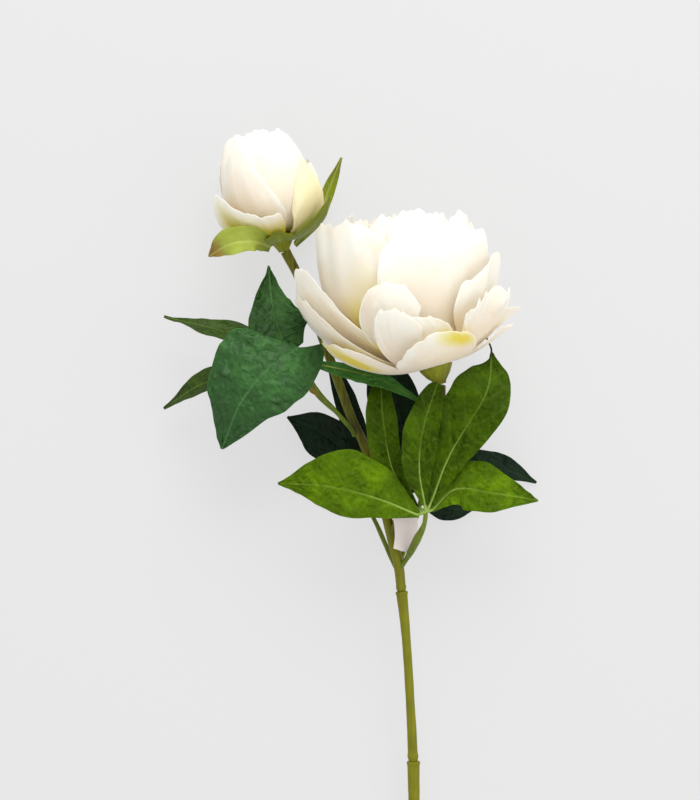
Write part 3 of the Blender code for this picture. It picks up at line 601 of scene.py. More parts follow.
def leaf_cloth(name, look):
    """Polyester satin, printed green, cut and pressed in a hot mould with leaf veins.

    A soft satin shine, a lighter midrib and side veins, and clouds of darker and lighter dye.
    """
    material, nodes = new_material(name)
    cloth = nodes.place()
    along, across = nodes.uv()
    # Dye clouds about 13 mm across, and painted shade that darkens the blade towards its tip.
    clouds = nodes.noise(cloth, 1 / 13, 4.0, 0.6)
    dye = nodes.ramp(clouds, [(0.34, look.dark), (0.50, look.ground), (0.68, look.light)])
    dye = nodes.blend(nodes.span(along, 0.35, 0.85, 0.0, look.tip_dark), dye, look.dark)
    # A net of fine veins, 3.4 mm between its threads, drawn out of true by up to 2.2 mm.
    warp = nodes.noise(cloth, 1 / 3, output="Color")
    warped = nodes.vector_math("MULTIPLY_ADD", warp, (2.2, 2.2, 2.2), cloth)
    net = nodes.add("ShaderNodeTexVoronoi", {"Vector": warped, "Scale": 1 / 3.4},
                    feature="DISTANCE_TO_EDGE")
    coloured = nodes.blend(nodes.span(net, 0.02, 0.14, look.net, 0.0), dye, look.vein)
    vein_share = nodes.math("MULTIPLY", nodes.attribute("vein"), look.vein_share)
    coloured = nodes.blend(vein_share, coloured, look.vein)
    # The blade is a little lighter along its cut edge.
    edges = nodes.math("ADD", nodes.span(across, 0.985, 1.0, 0.0, 0.35),
                       nodes.span(across, 0.0, 0.015, 0.35, 0.0))
    coloured = nodes.blend(edges, coloured, look.light)
    # The underside is a duller, paler green.
    under = nodes.math("MULTIPLY", nodes.attribute("underside"), 0.35)
    coloured = nodes.blend(under, coloured, look.light)
    weave = nodes.bump(nodes.noise(cloth, 1.6), 0.06, 0.6)
    # The mould puckers the cloth in ridges about 4 mm apart.
    puckers = nodes.noise(warped, 1 / 4, 2.5, noise_type="RIDGED_MULTIFRACTAL")
    relief = nodes.bump(puckers, 1.8, 1.0, weave)
    surface = nodes.surface(coloured, nodes.span(clouds, first=0.42, last=0.62), Normal=relief,
                            **{"Specular IOR Level": look.sheen})
    nodes.output(nodes.cloth(surface, coloured, 0.10))
    return material


def sepal_cloth(name, foot, body, tip):
    """Polyester satin, airbrushed yellow-green with scorched tan tips."""
    material, nodes = new_material(name)
    along, _ = nodes.uv()
    # Streaks of dye 9 mm long and 1.2 mm apart.
    streaks = nodes.noise(nodes.stretched(nodes.place(), (1 / 9, 1 / 1.2, 1.0)), 1.0, 3.0)
    dye = nodes.ramp(nodes.math("MULTIPLY_ADD", streaks, 0.18, along),
                     [(0.05, foot), (0.45, body), (0.84, body), (0.96, tip)])
    under = nodes.math("MULTIPLY", nodes.attribute("underside"), 0.6)
    backed = nodes.blend(under, dye, linear("#5c6a10"))
    veins = nodes.math("MULTIPLY", nodes.attribute("vein"), 0.4)
    coloured = nodes.blend(veins, backed, linear("#d4dc78"))
    surface = nodes.surface(coloured, 0.5, Normal=nodes.bump(streaks, 0.2, 0.6),
                            **{"Specular IOR Level": 0.4})
    nodes.output(nodes.cloth(surface, coloured, 0.15))
    return material


def stem_plastic(name, base, dark, share):
    """Low-density polyethylene moulded over wire, dip-dyed olive: satin, with streaky dye."""
    material, nodes = new_material(name)
    place = nodes.add("ShaderNodeTexCoord", output="Object")
    # Streaks run along the stem, 30 mm long and 1.5 mm wide, with patches 14 mm across.
    narrow, long = 1 / (1.5 * MM), 1 / (30 * MM)
    streaks = nodes.noise(nodes.stretched(place, (narrow, long, narrow)), 1.0, 3.0)
    patches = nodes.noise(place, 1 / (14 * MM))
    dark_share = nodes.span(nodes.math("ADD", streaks, patches), 0.8, 1.3, 0.0, share)
    relief = nodes.bump(nodes.noise(place, 1 / (0.8 * MM)), 0.05, 0.5)
    nodes.output(nodes.surface(nodes.blend(dark_share, base, dark), 0.45, Normal=relief,
                               **{"Specular IOR Level": 0.25}))
    return material


def label_paper(name):
    """Uncoated label paper, blank: matt, with faint fibres 2 mm long."""
    material, nodes = new_material(name)
    fibres = nodes.noise(nodes.stretched(nodes.place(), (0.5, 2.5, 1.0)), 1.0, 4.0)
    coloured = nodes.blend(fibres, linear("#f4ebe7"), linear("#dfd0cb"))
    nodes.output(nodes.surface(coloured, 0.85, Normal=nodes.bump(fibres, 0.05, 0.4)))
    return material


def pollen_plastic(name):
    """Polyester stamens, flocked yellow: rough and grainy."""
    material, nodes = new_material(name)
    place = nodes.add("ShaderNodeTexCoord", output="Object")
    specks = nodes.noise(place, 1 / (0.6 * MM))
    coloured = nodes.blend(specks, linear("#e0a81e"), linear("#ffdc5a"))
    nodes.output(nodes.surface(coloured, 0.9))
    return material


def material_once(name, make, *details):
    """A material by name, made on its first use."""
    return bpy.data.materials.get(name) or make(name, *details)


# ---------------------------------------------------------------- shapes

def route_points(points, shares):
    """Points at shares, 0 to 1, of the smooth route through the given points."""
    points = np.asarray(points, float)
    padded = np.vstack([2 * points[0] - points[1], points, 2 * points[-1] - points[-2]])
    place = np.clip(shares, 0, 1) * (len(points) - 1)
    i = np.minimum(place.astype(int), len(points) - 2)
    t = (place - i)[..., None]
    before, a, b, after = (padded[i + k] for k in range(4))
    return 0.5 * (2 * a + (b - before) * t + (2 * before - 5 * a + 4 * b - after) * t ** 2
                  + (3 * a - before - 3 * b + after) * t ** 3)


def smooth(low, high, value):
    """Rises smoothly from 0 at low to 1 at high."""
    t = np.clip((value - low) / (high - low), 0, 1)
    return t * t * (3 - 2 * t)


def ripple(x, seed, octaves=4):
    """A smooth uneven wave, about -1 to 1, from a few sines with seeded phases."""
    phases = np.random.default_rng(seed).uniform(0, 2 * math.pi, octaves)
    return sum(np.sin(x * (1.0 + 0.83 * k) + phases[k]) / (1 + 0.7 * k)
               for k in range(octaves)) / 1.7


def linked(name, data):
    """A new object in the scene that holds a mesh, light or camera."""
    obj = bpy.data.objects.new(name, data)
    bpy.context.scene.collection.objects.link(obj)
    return obj


def sheet_object(name, points, thickness, material, values):
    """A thin closed sheet round a grid of middle points in layout millimetres.

    The UV map runs along and across the grid, "cloth" is the place on the cloth in millimetres, and
    each of the values becomes an attribute of its own.
    """
    rows, columns = points.shape[:2]
    along, across = np.gradient(points, axis=0), np.gradient(points, axis=1)
    normals = unit(np.cross(along, across) + 1e-9)
    half = np.full((rows, columns, 1), thickness / MM / 2)
    half[[0, -1], :] *= EDGE_SHARE
    half[:, [0, -1]] *= EDGE_SHARE
    layers = [(points + normals * half).reshape(-1, 3), (points - normals * half).reshape(-1, 3)]
    count = rows * columns
    grid = np.arange(count).reshape(rows, columns)
    top = np.stack([grid[:-1, :-1], grid[1:, :-1], grid[1:, 1:], grid[:-1, 1:]], -1).reshape(-1, 4)
    rim = np.concatenate([grid[:-1, 0], grid[-1, :-1], grid[:0:-1, -1], grid[0, :0:-1]])
    after = np.roll(rim, -1)
    sides = np.stack([after, rim, rim + count, after + count], -1)
    mesh = bpy.data.meshes.new(name)
    faces = np.concatenate([top, top[:, ::-1] + count, sides])
    mesh.from_pydata(to_frame(np.concatenate(layers)).tolist(), [], faces.tolist())
    loops = np.zeros(len(mesh.loops), np.int32)
    mesh.loops.foreach_get("vertex_index", loops)
    u, v = np.meshgrid(np.linspace(0, 1, rows), np.linspace(0, 1, columns), indexing="ij")
    places = np.tile(np.stack([u, v], -1).reshape(-1, 2), (2, 1))
    mesh.uv_layers.new(name="UVMap").data.foreach_set("uv", places[loops].ravel())
    step_along = np.linalg.norm(np.diff(points, axis=0), axis=2).mean(axis=1)
    step_across = np.linalg.norm(np.diff(points, axis=1), axis=2)
    down = np.concatenate([[0], np.cumsum(step_along)])[:, None] + np.zeros((rows, columns))
    over = np.concatenate([np.zeros((rows, 1)), np.cumsum(step_across, axis=1)], axis=1)
    over -= over[:, columns // 2][:, None]
    seed = sum(ord(letter) * (i + 1) for i, letter in enumerate(name)) % 97 * 7.3
    cloth = np.stack([down, over, np.full_like(down, seed)], -1).reshape(-1, 3)
    mesh.attributes.new("cloth", "FLOAT_VECTOR", "POINT").data.foreach_set(
        "vector", np.tile(cloth, (2, 1)).ravel())
    flats = {key: np.tile(np.broadcast_to(value, (rows, columns)).reshape(-1), 2)
             for key, value in values.items()}
    for key, flat in {**flats, "underside": np.repeat([0.0, 1.0], count)}.items():
        mesh.attributes.new(key, "FLOAT", "POINT").data.foreach_set("value", flat)
    mesh.materials.append(material)
    mesh.validate()
    mesh.shade_smooth()
    mesh.set_sharp_from_angle(angle=math.radians(SHARP_ANGLE))
    return linked(name, mesh)


def settle(obj, slot, *nodes):
    """Hands a finished piece to the frame: it rides on the root body and stands for its solids."""
    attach(obj, "root")
    if nodes:
        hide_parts(*nodes)
    return obj


def whorl_line(receptacle_radius, start, lean_foot, lean_tip, length, straighten):
    """Radius and height of a petal's middle line, in equal steps, run on past its tip."""
    seat = receptacle_radius + PETAL_THICKNESS + CLEARANCE
    share = (np.arange(PROFILE_STEPS) + 0.5) / PROFILE_STEPS
    lean = np.radians(lean_tip + (lean_foot - lean_tip) * (1 - share) ** straighten)
    lean = np.concatenate([lean, np.full(PROFILE_STEPS // 2, lean[-1])])
    steps = np.stack([np.sin(lean), np.cos(lean)], -1) * length / PROFILE_STEPS
    first = seat * np.array([math.sin(math.radians(start)), math.cos(math.radians(start))])
    return first + np.concatenate([np.zeros((1, 2)), np.cumsum(steps, axis=0)])


def line_at(line, share):
    """Radius and height at a share of the whorl's length."""
    place = share * PROFILE_STEPS
    ticks = np.arange(len(line))
    return np.interp(place, ticks, line[:, 0]), np.interp(place, ticks, line[:, 1])


def head_basis(head):
    """The head's up, across and axis directions, as rows."""
    axis = unit(head.axis)
    up = unit(UP - axis * axis[2])
    return np.array([up, np.cross(axis, up), axis])


def bend_head(head, local):
    """Layout points of a head's own points, bent round to the side above its calyx."""
    up, across, along = np.moveaxis(local, -1, 0)
    share = smooth(*BEND_SPAN, along)
    angle = math.radians(head.bend) * share
    over = along - BEND_MIDDLE
    bent = np.stack([up, across * np.cos(angle) + over * np.sin(angle) + head.shift * share,
                     BEND_MIDDLE - across * np.sin(angle) + over * np.cos(angle)], -1)
    return np.array(head.seat) + bent @ head_basis(head)


def round_head(head, radius, turn, height):
    """Layout points of places round a head."""
    return bend_head(head, np.stack([radius * np.cos(turn), radius * np.sin(turn), height], -1))


def petal_points(line, petal, seed, grid):
    """Radius, turn and height of a petal's points, and where its edge is."""
    u = np.linspace(0, 1, grid[0])[:, None]
    v = np.linspace(-1, 1, grid[1])[None, :]
    length = route_length(line[:PROFILE_STEPS + 1]) * petal.share
    outline = 1 - petal.shorter * np.abs(v - petal.skew * (1 - v * v)) ** petal.blunt
    outline = outline + petal.nick / length * ripple(v * petal.nicks * 1.6, seed + 5)
    radius, height = line_at(line, petal.share * u * outline)
    turn = math.radians(petal.spread) * v * (1 - 0.12 * u ** 4)
    turn = turn + math.radians(petal.twist) * u ** 1.5
    rim = np.maximum(smooth(0.45, 1, u), smooth(0.5, 1, np.abs(v)) * smooth(0.2, 0.6, u))
    radius = radius + petal.wave * rim * ripple(v * petal.waves + 1.3 * u, seed)
    radius = radius + petal.curl * smooth(0.5, 1, u) ** 2 + petal.lift * smooth(0, 0.3, u)
    radius = radius + petal.flare * np.abs(v) ** 3 * smooth(0.3, 1, u)
    radius = radius + 0.35 * smooth(0.1, 0.6, u) * ripple(v * 5 + 0.8 * u, seed + 3)
    height = height + 0.4 * petal.wave * rim * ripple(v * petal.waves * 1.7 + 2, seed + 2)
    height = height - petal.droop * u ** 2
    return u, v, radius, turn, height


def route_length(points):
    """Length of a line of points, in millimetres."""
    return float(np.linalg.norm(np.diff(points, axis=0), axis=1).sum())


def add_petal(head, name, petal, settings, material, seed):
    whorl = WHORLS[petal.whorl]
    line = whorl_line(head.receptacle_radius, *whorl)
    u, v, radius, turn, height = petal_points(line, petal, seed, PETAL_GRID)
    points = round_head(head, radius, turn + math.radians(petal.place), height)
    glow = np.zeros(PETAL_GRID)
    for along, across, size, strength in petal.glow:
        far = ((u - along) / size) ** 2 + ((v - across) / (2 * size)) ** 2
        glow = np.maximum(glow, strength * np.exp(-far))
    green = petal.green * smooth(1, 0.1, u) + 0 * v
    obj = sheet_object(name, points, settings.thickness, material, {"glow": glow, "green": green})
    with_solid = petal.whorl not in INNER_WHORLS
    return settle(obj, "petal", *([name] if with_solid else []))


def blade_width(leaf, t):
    """Half-width of a leaf blade at t along it, as a share of its widest."""
    rise = leaf.foot + (1 - leaf.foot) * np.sin(
        math.pi / 2 * np.clip(t / leaf.widest, 0, 1)) ** leaf.slim
    past = np.clip((t - leaf.widest) / (1 - leaf.widest), 0, 1)
    return np.where(t < leaf.widest, rise, np.maximum(np.cos(math.pi / 2 * past), 0) ** leaf.taper)


def blade_frame(leaf, t):
    """The midrib's points at t, and the blade's tangent, side and normal there."""
    centre = route_points(leaf.midrib, t)
    tangent = unit(route_points(leaf.midrib, np.minimum(t + 0.01, 1))
                   - route_points(leaf.midrib, np.maximum(t - 0.01, 0)))
    first, last = (np.array(facing) for facing in leaf.facing)
    facing = first + (last - first) * t[..., None]
    normal = unit(facing - tangent * (facing * tangent).sum(-1, keepdims=True))
    return centre, tangent, np.cross(tangent, normal), normal


def blade_points(leaf, grid, vein_depth):
    """A leaflet's points, with waving edges and pressed veins, and how much vein each point is."""
    t = np.linspace(0, 1, grid[0])
    v = np.linspace(-1, 1, grid[1])[None, :]
    centre, tangent, side, normal = (part[:, None, :] for part in blade_frame(leaf, t))
    t = t[:, None]
    reach = np.where(v > 0, leaf.right, leaf.left)
    lobe = np.where(v > 0, leaf.lobes[1], leaf.lobes[0])
    half = LEAF_END_WIDTH + reach * blade_width(leaf, t)
    half = half + lobe * np.exp(-((t - LOBE_PLACE) / LOBE_WIDTH) ** 2)
    half = half * (1 + 0.05 * ripple(t * 9 + 3 * np.sign(v), leaf.seed + 7) * smooth(0.1, 0.3, t))
    half = half * (1 - leaf.drawn * smooth(0.86, 0.96, t) * (v < 0))
    rise = np.radians(leaf.fold + leaf.curl * np.abs(v))
    back = (leaf.sweep - leaf.forward * (v > 0)) * np.abs(v) ** 1.5 * (1 - t) ** 3
    lift = np.abs(v) * half * np.sin(rise)
    lift = lift + leaf.wave * np.abs(v) ** 2 * smooth(0, 0.2, t) * ripple(
        t * leaf.waves * 2 * math.pi + 2.0 * np.sign(v), leaf.seed)
    lift = lift + leaf.tip_turn * smooth(0.7, 1, t)
    # Puckers: short creases, steepest between the side veins.
    lift = lift + PUCKER * np.minimum(reach / PUCKER_REACH, 1) * smooth(0.05, 0.3, t) * smooth(
        0.02, 0.2, np.abs(v)) * (
        ripple(t * 30 + 6 * np.abs(v), leaf.seed + 9) * ripple(v * 8 - 9 * t, leaf.seed + 10))
    out = np.abs(v) * half
    length = route_length(centre[:, 0])
    # Each side vein leaves the midrib forwards and bends on towards the tip.
    place = t * length - 0.95 * out ** 1.08 + 1.2 * ripple(t * 7, leaf.seed + 4)
    across_vein = np.abs((place / leaf.veins) % 1 - 0.5) * leaf.veins
    line = 1 - smooth(0.1, 0.75, across_vein)
    line = line * (1 - smooth(0.72, 0.95, np.abs(v))) * smooth(0.0, 0.06, t)
    line = line * (0.5 + 0.5 * smooth(0.25, 0.08, t / 2 + 0.3 * np.abs(v)))
    rib_width = 0.95 * (1 - 0.65 * t)
    rib = 1 - smooth(rib_width * 0.4, rib_width * 1.2, out)
    quilt = 0.5 + 0.5 * np.cos(2 * math.pi * (place / leaf.veins - 0.5))
    lift = lift - vein_depth * (quilt * smooth(0.05, 0.35, np.abs(v)) * (1 - np.abs(v))
                               + 1.6 * rib * smooth(0.8, 0.5, t))
    points = (centre - tangent * back[..., None] + side * (v * half * np.cos(rise))[..., None]
              + normal * lift[..., None])
    return points, np.maximum(0.5 * line, rib)


# ---------------------------------------------------------------- geometry nodes

def new_geometry_tree(name, inputs):
    """A geometry node tree's builder, and its inputs by name. Each input has a kind and a value."""
    tree = bpy.data.node_groups.new(name, "GeometryNodeTree")
    for label, (kind, value) in {"Geometry": ("Geometry", None), **inputs}.items():
        socket = tree.interface.new_socket(label, in_out="INPUT", socket_type="NodeSocket" + kind)
        if value is not None:
            socket.default_value = value
    tree.interface.new_socket("Geometry", in_out="OUTPUT", socket_type="NodeSocketGeometry")
    nodes = Nodes(tree)
    return nodes, nodes.add("NodeGroupInput").node.outputs


def finish_tree(nodes, geometry, material):
    """Ends a tree in smooth shading, real geometry and its material."""
    smooth_shade = nodes.add("GeometryNodeSetShadeSmooth", {"Geometry": geometry})
    real = nodes.add("GeometryNodeRealizeInstances", {"Geometry": smooth_shade})
    painted = nodes.add("GeometryNodeSetMaterial", {"Geometry": real, "Material": material})
    nodes.add("NodeGroupOutput", {0: painted})
    return nodes.tree


def run_tree(name, tree, mesh, values, head=None):
    """Runs a tree on a mesh with its inputs set, and returns the result as a plain object.

    With a head, the tree's result is in the head's own metres, and is placed on it.
    """
    source = bpy.data.objects.new(name + "_source", mesh)
    bpy.context.scene.collection.objects.link(source)
    modifier = source.modifiers.new("nodes", "NODES")
    modifier.node_group = tree
    for item in tree.interface.items_tree:
        if item.item_type == "SOCKET" and item.in_out == "INPUT" and item.name in values:
            modifier[item.identifier] = values[item.name]
    bpy.context.view_layer.update()
    graph = bpy.context.evaluated_depsgraph_get()
    made = bpy.data.meshes.new_from_object(source.evaluated_get(graph))
    bpy.data.objects.remove(source)
    if not made.polygons:
        raise RuntimeError(f"the node tree for {name} made nothing")
    if head:
        places = np.zeros(len(made.vertices) * 3)
        made.vertices.foreach_get("co", places)
        placed = to_frame(bend_head(head, places.reshape(-1, 3) / MM))
        made.vertices.foreach_set("co", placed.ravel())
        made.update()
    made.name = name
    return linked(name, made)


def moulded_tube_tree():
    """A tube along a path, with its radius on the points, fine ridges and a little wobble."""
    nodes, given = new_geometry_tree("moulded_tube", {
        "Sides": ("Int", 32),
        "Ridges": ("Int", 9),
        "Ridge Height": ("Float", 0.07 * MM),
        "Wobble": ("Float", 0.2 * MM),
        "Wobble Size": ("Float", 14 * MM),
        "Material": ("Material", None),
    })
    radius = nodes.add("GeometryNodeInputNamedAttribute", {"Name": "radius"})
    path = nodes.add("GeometryNodeMeshToCurve", {"Mesh": given["Geometry"]})
    ring = nodes.add("GeometryNodeCurvePrimitiveCircle",
                     {"Resolution": given["Sides"], "Radius": 1.0})
    marked = nodes.add("GeometryNodeStoreNamedAttribute",
                       {"Geometry": ring, "Name": "around",
                        "Value": nodes.add("GeometryNodeSplineParameter", output="Factor")})
    tube = nodes.add("GeometryNodeCurveToMesh", {"Curve": path, "Profile Curve": marked,
                                                 "Scale": radius, "Fill Caps": True})
    around = nodes.add("GeometryNodeInputNamedAttribute", {"Name": "around"})
    turns = nodes.math("MULTIPLY", given["Ridges"], 2 * math.pi)
    wave = nodes.math("SINE", nodes.math("MULTIPLY", around, turns))
    ridge = nodes.math("MULTIPLY", wave, given["Ridge Height"])
    lumps = nodes.noise(None, nodes.math("DIVIDE", 1.0, given["Wobble Size"]))
    centred = nodes.math("SUBTRACT", lumps, 0.5)
    lift = nodes.math("MULTIPLY_ADD", centred, given["Wobble"], ridge)
    offset = nodes.scaled(nodes.add("GeometryNodeInputNormal"), lift)
    moved = nodes.add("GeometryNodeSetPosition", {"Geometry": tube, "Offset": offset})
    return finish_tree(nodes, moved, given["Material"])


def packed_petals_tree():
    """Petals set round a centre on a spiral, each leaning out a little more than the last."""
    nodes, given = new_geometry_tree("packed_petals", {
        "Count": ("Int", 30),
        "Inner Radius": ("Float", 1.5 * MM),
        "Outer Radius": ("Float", 9 * MM),
        "Inner Lean": ("Float", 0.0),
        "Outer Lean": ("Float", 0.2),
        "Smallest": ("Float", 0.85),
        "Ruffle": ("Float", 2 * MM),
        "Ruffle Size": ("Float", 9 * MM),
        "Height": ("Float", 60 * MM),
        "Seed": ("Int", 4),
        "Material": ("Material", None),
    })
    index = nodes.add("GeometryNodeInputIndex")
    line = nodes.add("GeometryNodeMeshLine", {"Count": given["Count"], "Offset": (0.0, 0.0, 0.0)})
    share = nodes.math("DIVIDE", index, given["Count"])
    radius = nodes.span(nodes.math("SQRT", share), first=given["Inner Radius"],
                        last=given["Outer Radius"])
    turn = nodes.math("MULTIPLY", index, GOLDEN_ANGLE)
    ring = nodes.add("ShaderNodeCombineXYZ",
                     {0: nodes.math("COSINE", turn), 1: nodes.math("SINE", turn)})
    spots = nodes.add("GeometryNodeSetPosition",
                      {"Geometry": line, "Position": nodes.scaled(ring, radius)})
    lean = nodes.span(share, first=given["Inner Lean"], last=given["Outer Lean"])
    # Of a Random Value node's sockets, 2 and 3 are the float's limits and 1 is its output.
    lean_more = nodes.add("FunctionNodeRandomValue", {2: -0.07, 3: 0.07, "Seed": given["Seed"]}, 1,
                          data_type="FLOAT")
    pose = nodes.add("ShaderNodeCombineXYZ", {1: nodes.math("ADD", lean, lean_more), 2: turn})
    size = nodes.add("FunctionNodeRandomValue",
                     {2: given["Smallest"], 3: 1.0, "Seed": given["Seed"]}, 1, data_type="FLOAT")
    placed = nodes.add("GeometryNodeInstanceOnPoints",
                       {"Points": spots, "Instance": given["Geometry"],
                        "Rotation": nodes.add("FunctionNodeEulerToRotation", {0: pose}),
                        "Scale": size})
    real = nodes.add("GeometryNodeRealizeInstances", {"Geometry": placed})
    # Ruffles grow towards the tips.
    position = nodes.add("GeometryNodeInputPosition")
    height = nodes.add("ShaderNodeSeparateXYZ", {0: position}, 2)
    tip = nodes.span(height, 0.0, given["Height"], last=given["Ruffle"])
    waves = nodes.noise(None, nodes.math("DIVIDE", 1.0, given["Ruffle Size"]), 1.5,
                        output="Color")
    centred = nodes.vector_math("SUBTRACT", waves, (0.5, 0.5, 0.5))
    offset = nodes.scaled(centred, nodes.math("MULTIPLY", tip, 2.0))
    ruffled = nodes.add("GeometryNodeSetPosition", {"Geometry": real, "Offset": offset})
    return finish_tree(nodes, ruffled, given["Material"])


def tree_once(name, make):
    """A node tree by name, made on its first use."""
    return bpy.data.node_groups.get(name) or make()


def moulded_tube(name, points, radii, material, sides, ridges, ridge_height, wobble, size):
    """A moulded piece along a line of points, with a radius at each. Sizes are in millimetres."""
    mesh = bpy.data.meshes.new(name)
    mesh.from_pydata(to_frame(points).tolist(), [(i, i + 1) for i in range(len(points) - 1)], [])
    mesh.attributes.new("radius", "FLOAT", "POINT").data.foreach_set(
        "value", np.asarray(radii) * MM)
    values = {"Sides": sides, "Ridges": ridges, "Ridge Height": ridge_height * MM,
              "Wobble": wobble * MM, "Wobble Size": size * MM, "Material": material}
    return run_tree(name, tree_once("moulded_tube", moulded_tube_tree), mesh, values)


# ---------------------------------------------------------------- operators

def settings_of(context):
    scene = context.scene
    return scene.peony_petals, scene.peony_leaves, scene.peony_stem, scene.peony_stage


class PEONY_OT_stems(bpy.types.Operator):
    """Make the moulded stem, its branches and the leaf stalks"""
    bl_idname = "peony.stems"
    bl_label = "Stem and stalks"

    def execute(self, context):
        stem = settings_of(context)[2]
        tints = {
            "stem": (stem.olive, stem.brown, 0.35),
            "branch": (stem.olive, stem.brown, 0.9),
            "stalk": (linear("#6c7c1c"), linear("#3f5014"), 0.6),
            "tail": (linear("#2c3808"), linear("#1c2406"), 0.6),
            "stipule": (linear("#80701e"), linear("#5c4c12"), 0.6),
        }
        for tube in TUBES + [TAIL, STIPULE]:
            material = material_once(f"{tube.finish}_polyethylene", stem_plastic,
                                     *tints[tube.finish])
            add_stem_piece(tube, material, stem)
        return {"FINISHED"}


def stem_radii(tube, shares, length):
    """Radius along a tube, with a lip at each plugged end of the stem."""
    radii = np.interp(shares, np.linspace(0, 1, len(tube.radii)), tube.radii)
    distance = shares * length
    if tube.name in ("stem_lower", "stem_middle"):
        radii = radii + 0.35 * np.exp(-((distance - length + 1.0) / 0.8) ** 2)
    if tube.name in ("stem_middle", "stem_upper"):
        radii = radii + 0.30 * np.exp(-((distance - 1.6) / 0.9) ** 2)
        radii = radii - 0.5 * smooth(0.9, 0.2, distance)
    return radii


def add_stem_piece(tube, material, stem):
    if tube.name in ROOTS:
        tube = tube._replace(route=[ROOTS[tube.name]] + tube.route,
                             radii=[tube.radii[0] + 0.3] + tube.radii)
    length = route_length(route_points(tube.route, np.linspace(0, 1, ROUTE_SAMPLES)))
    shares = np.linspace(0, 1, max(int(length / TUBE_STEP), TUBE_LEAST_POINTS))
    points = route_points(tube.route, shares)
    # The foot is a plug that reaches into the section below.
    points[0] -= unit(points[1] - points[0]) * PLUGS.get(tube.name, 0.0)
    sides, ridges, wobble = ((20, 5, 0.5) if tube.finish == "stalk"
                             else (stem.sides, stem.ridges, 0.35))
    obj = moulded_tube(tube.name, points, stem_radii(tube, shares, length), material, sides,
                       ridges, stem.ridge_height / MM, wobble, 9)
    return settle(obj, "stem", *([tube.name] if tube in TUBES or tube.name in ROOTS else []))


class PEONY_OT_leaves(bpy.types.Operator):
    """Make the leaflets, and the plastic ribs that carry them"""
    bl_idname = "peony.leaves"
    bl_label = "Leaves"

    def execute(self, context):
        leaves = settings_of(context)[1]
        vein = tuple(leaves.vein)
        cloths = {
            "olive": LeafCloth(tuple(leaves.olive), linear("#122200"), linear("#486600"), vein,
                               0.6, 0.08, 0.06),
            "olive_light": LeafCloth(linear("#365200"), linear("#182c00"), linear("#648600"),
                                     vein, 0.6, 0.10, 0.06),
            "olive_deep": LeafCloth(linear("#22380a"), linear("#122206"), linear("#3c5612"),
                                    vein, 0.35, 0.06, 0.2),
            # The front left leaf's tip turns away from the light, so it gets the deepest painted
            # shade.
            "cool": LeafCloth(tuple(leaves.cool), linear("#0a2606"), linear("#386c2a"),
                              linear("#5c9058"), 0.5, 0.08, 0.3, 0.85),
            "cool_olive": LeafCloth(linear("#2c5c12"), linear("#183c0c"), linear("#458038"),
                                    vein, 0.4, 0.08, 0.22),
            "deep": LeafCloth(tuple(leaves.deep), linear("#0e2208"), linear("#315a22"),
                              linear("#5a8248"), 0.7, 0.10, 0.16),
            # The leaves behind: a near-black green that is painted shade, as they lie under the
            # leaves above.
            "shade": LeafCloth(tuple(leaves.shade), linear("#081208"), linear("#16301a"),
                               linear("#2c4c2c"), 0.35, 0.05, 0.15),
        }
        for leaf in LEAFLETS:
            material = material_once(f"leaf_satin_{leaf.cloth}", leaf_cloth, cloths[leaf.cloth])
            points, vein_map = blade_points(leaf, LEAF_GRID, leaves.vein_depth / MM)
            obj = sheet_object(leaf.name, points, leaves.thickness, material, {"vein": vein_map})
            settle(obj, "shade_leaf" if leaf.cloth == "shade" else "leaf", leaf.name)
        ribs = material_once("rib_polyethylene", stem_plastic, linear("#90a84c"),
                             linear("#64802c"), 0.6)
        for leaf in LEAFLETS:
            add_leaf_rib(leaf, ribs)
        return {"FINISHED"}


def add_leaf_rib(leaf, material):
    """The rib under a leaflet, from the end of its stalk to past the middle of its blade."""
    stalk = next(tube for tube in TUBES if tube.name == leaf.stalk)
    t = np.linspace(0.02, 0.72, 34)
    centre, _, _, normal = blade_frame(leaf, t)
    under = centre - normal * RIB_DEPTHS.get(leaf.cloth, RIB_DEPTH)
    neck = route_points([stalk.route[-1], under[0], under[1]], np.linspace(0, 0.5, 8))[:-1]
    points = np.concatenate([neck, under])
    radii = np.interp(np.linspace(0, 1, len(points)), [0, 0.12, 1], [1.0, 0.8, 0.25])
    return settle(moulded_tube(leaf.name.replace("_leaf", "_rib"), points, radii, material,
                               12, 3, 0.02, 0.1, 6), "stem")


class PEONY_OT_petals(bpy.types.Operator):
    """Make the whorls of petals of the bloom and the bud"""
    bl_idname = "peony.petals"
    bl_label = "Petals"

    def execute(self, context):
        petals = settings_of(context)[0]
        material = material_once("petal_voile", petal_cloth, petals)
        for head in (BLOOM, BUD):
            counts = {}
            for i, petal in enumerate(PETALS[head.name]):
                counts[petal.whorl] = counts.get(petal.whorl, 0) + 1
                name = f"{petal.whorl}_{counts[petal.whorl]}"
                add_petal(head, name, petal, petals, material, 100 + 13 * i)
        return {"FINISHED"}


class PEONY_OT_hearts(bpy.types.Operator):
    """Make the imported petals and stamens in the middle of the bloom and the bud"""
    bl_idname = "peony.hearts"
    bl_label = "Hearts"

    def execute(self, context):
        petals = settings_of(context)[0]
        material = material_once("petal_voile", petal_cloth, petals)
        add_heart(BLOOM, petals.inner_count, petals, material, 11.0, 62.0, 40.0)
        add_heart(BUD, petals.bud_inner_count, petals, material, 7.0, 40.0, 26.0)
        add_stamens(BLOOM, petals)
        return {"FINISHED"}


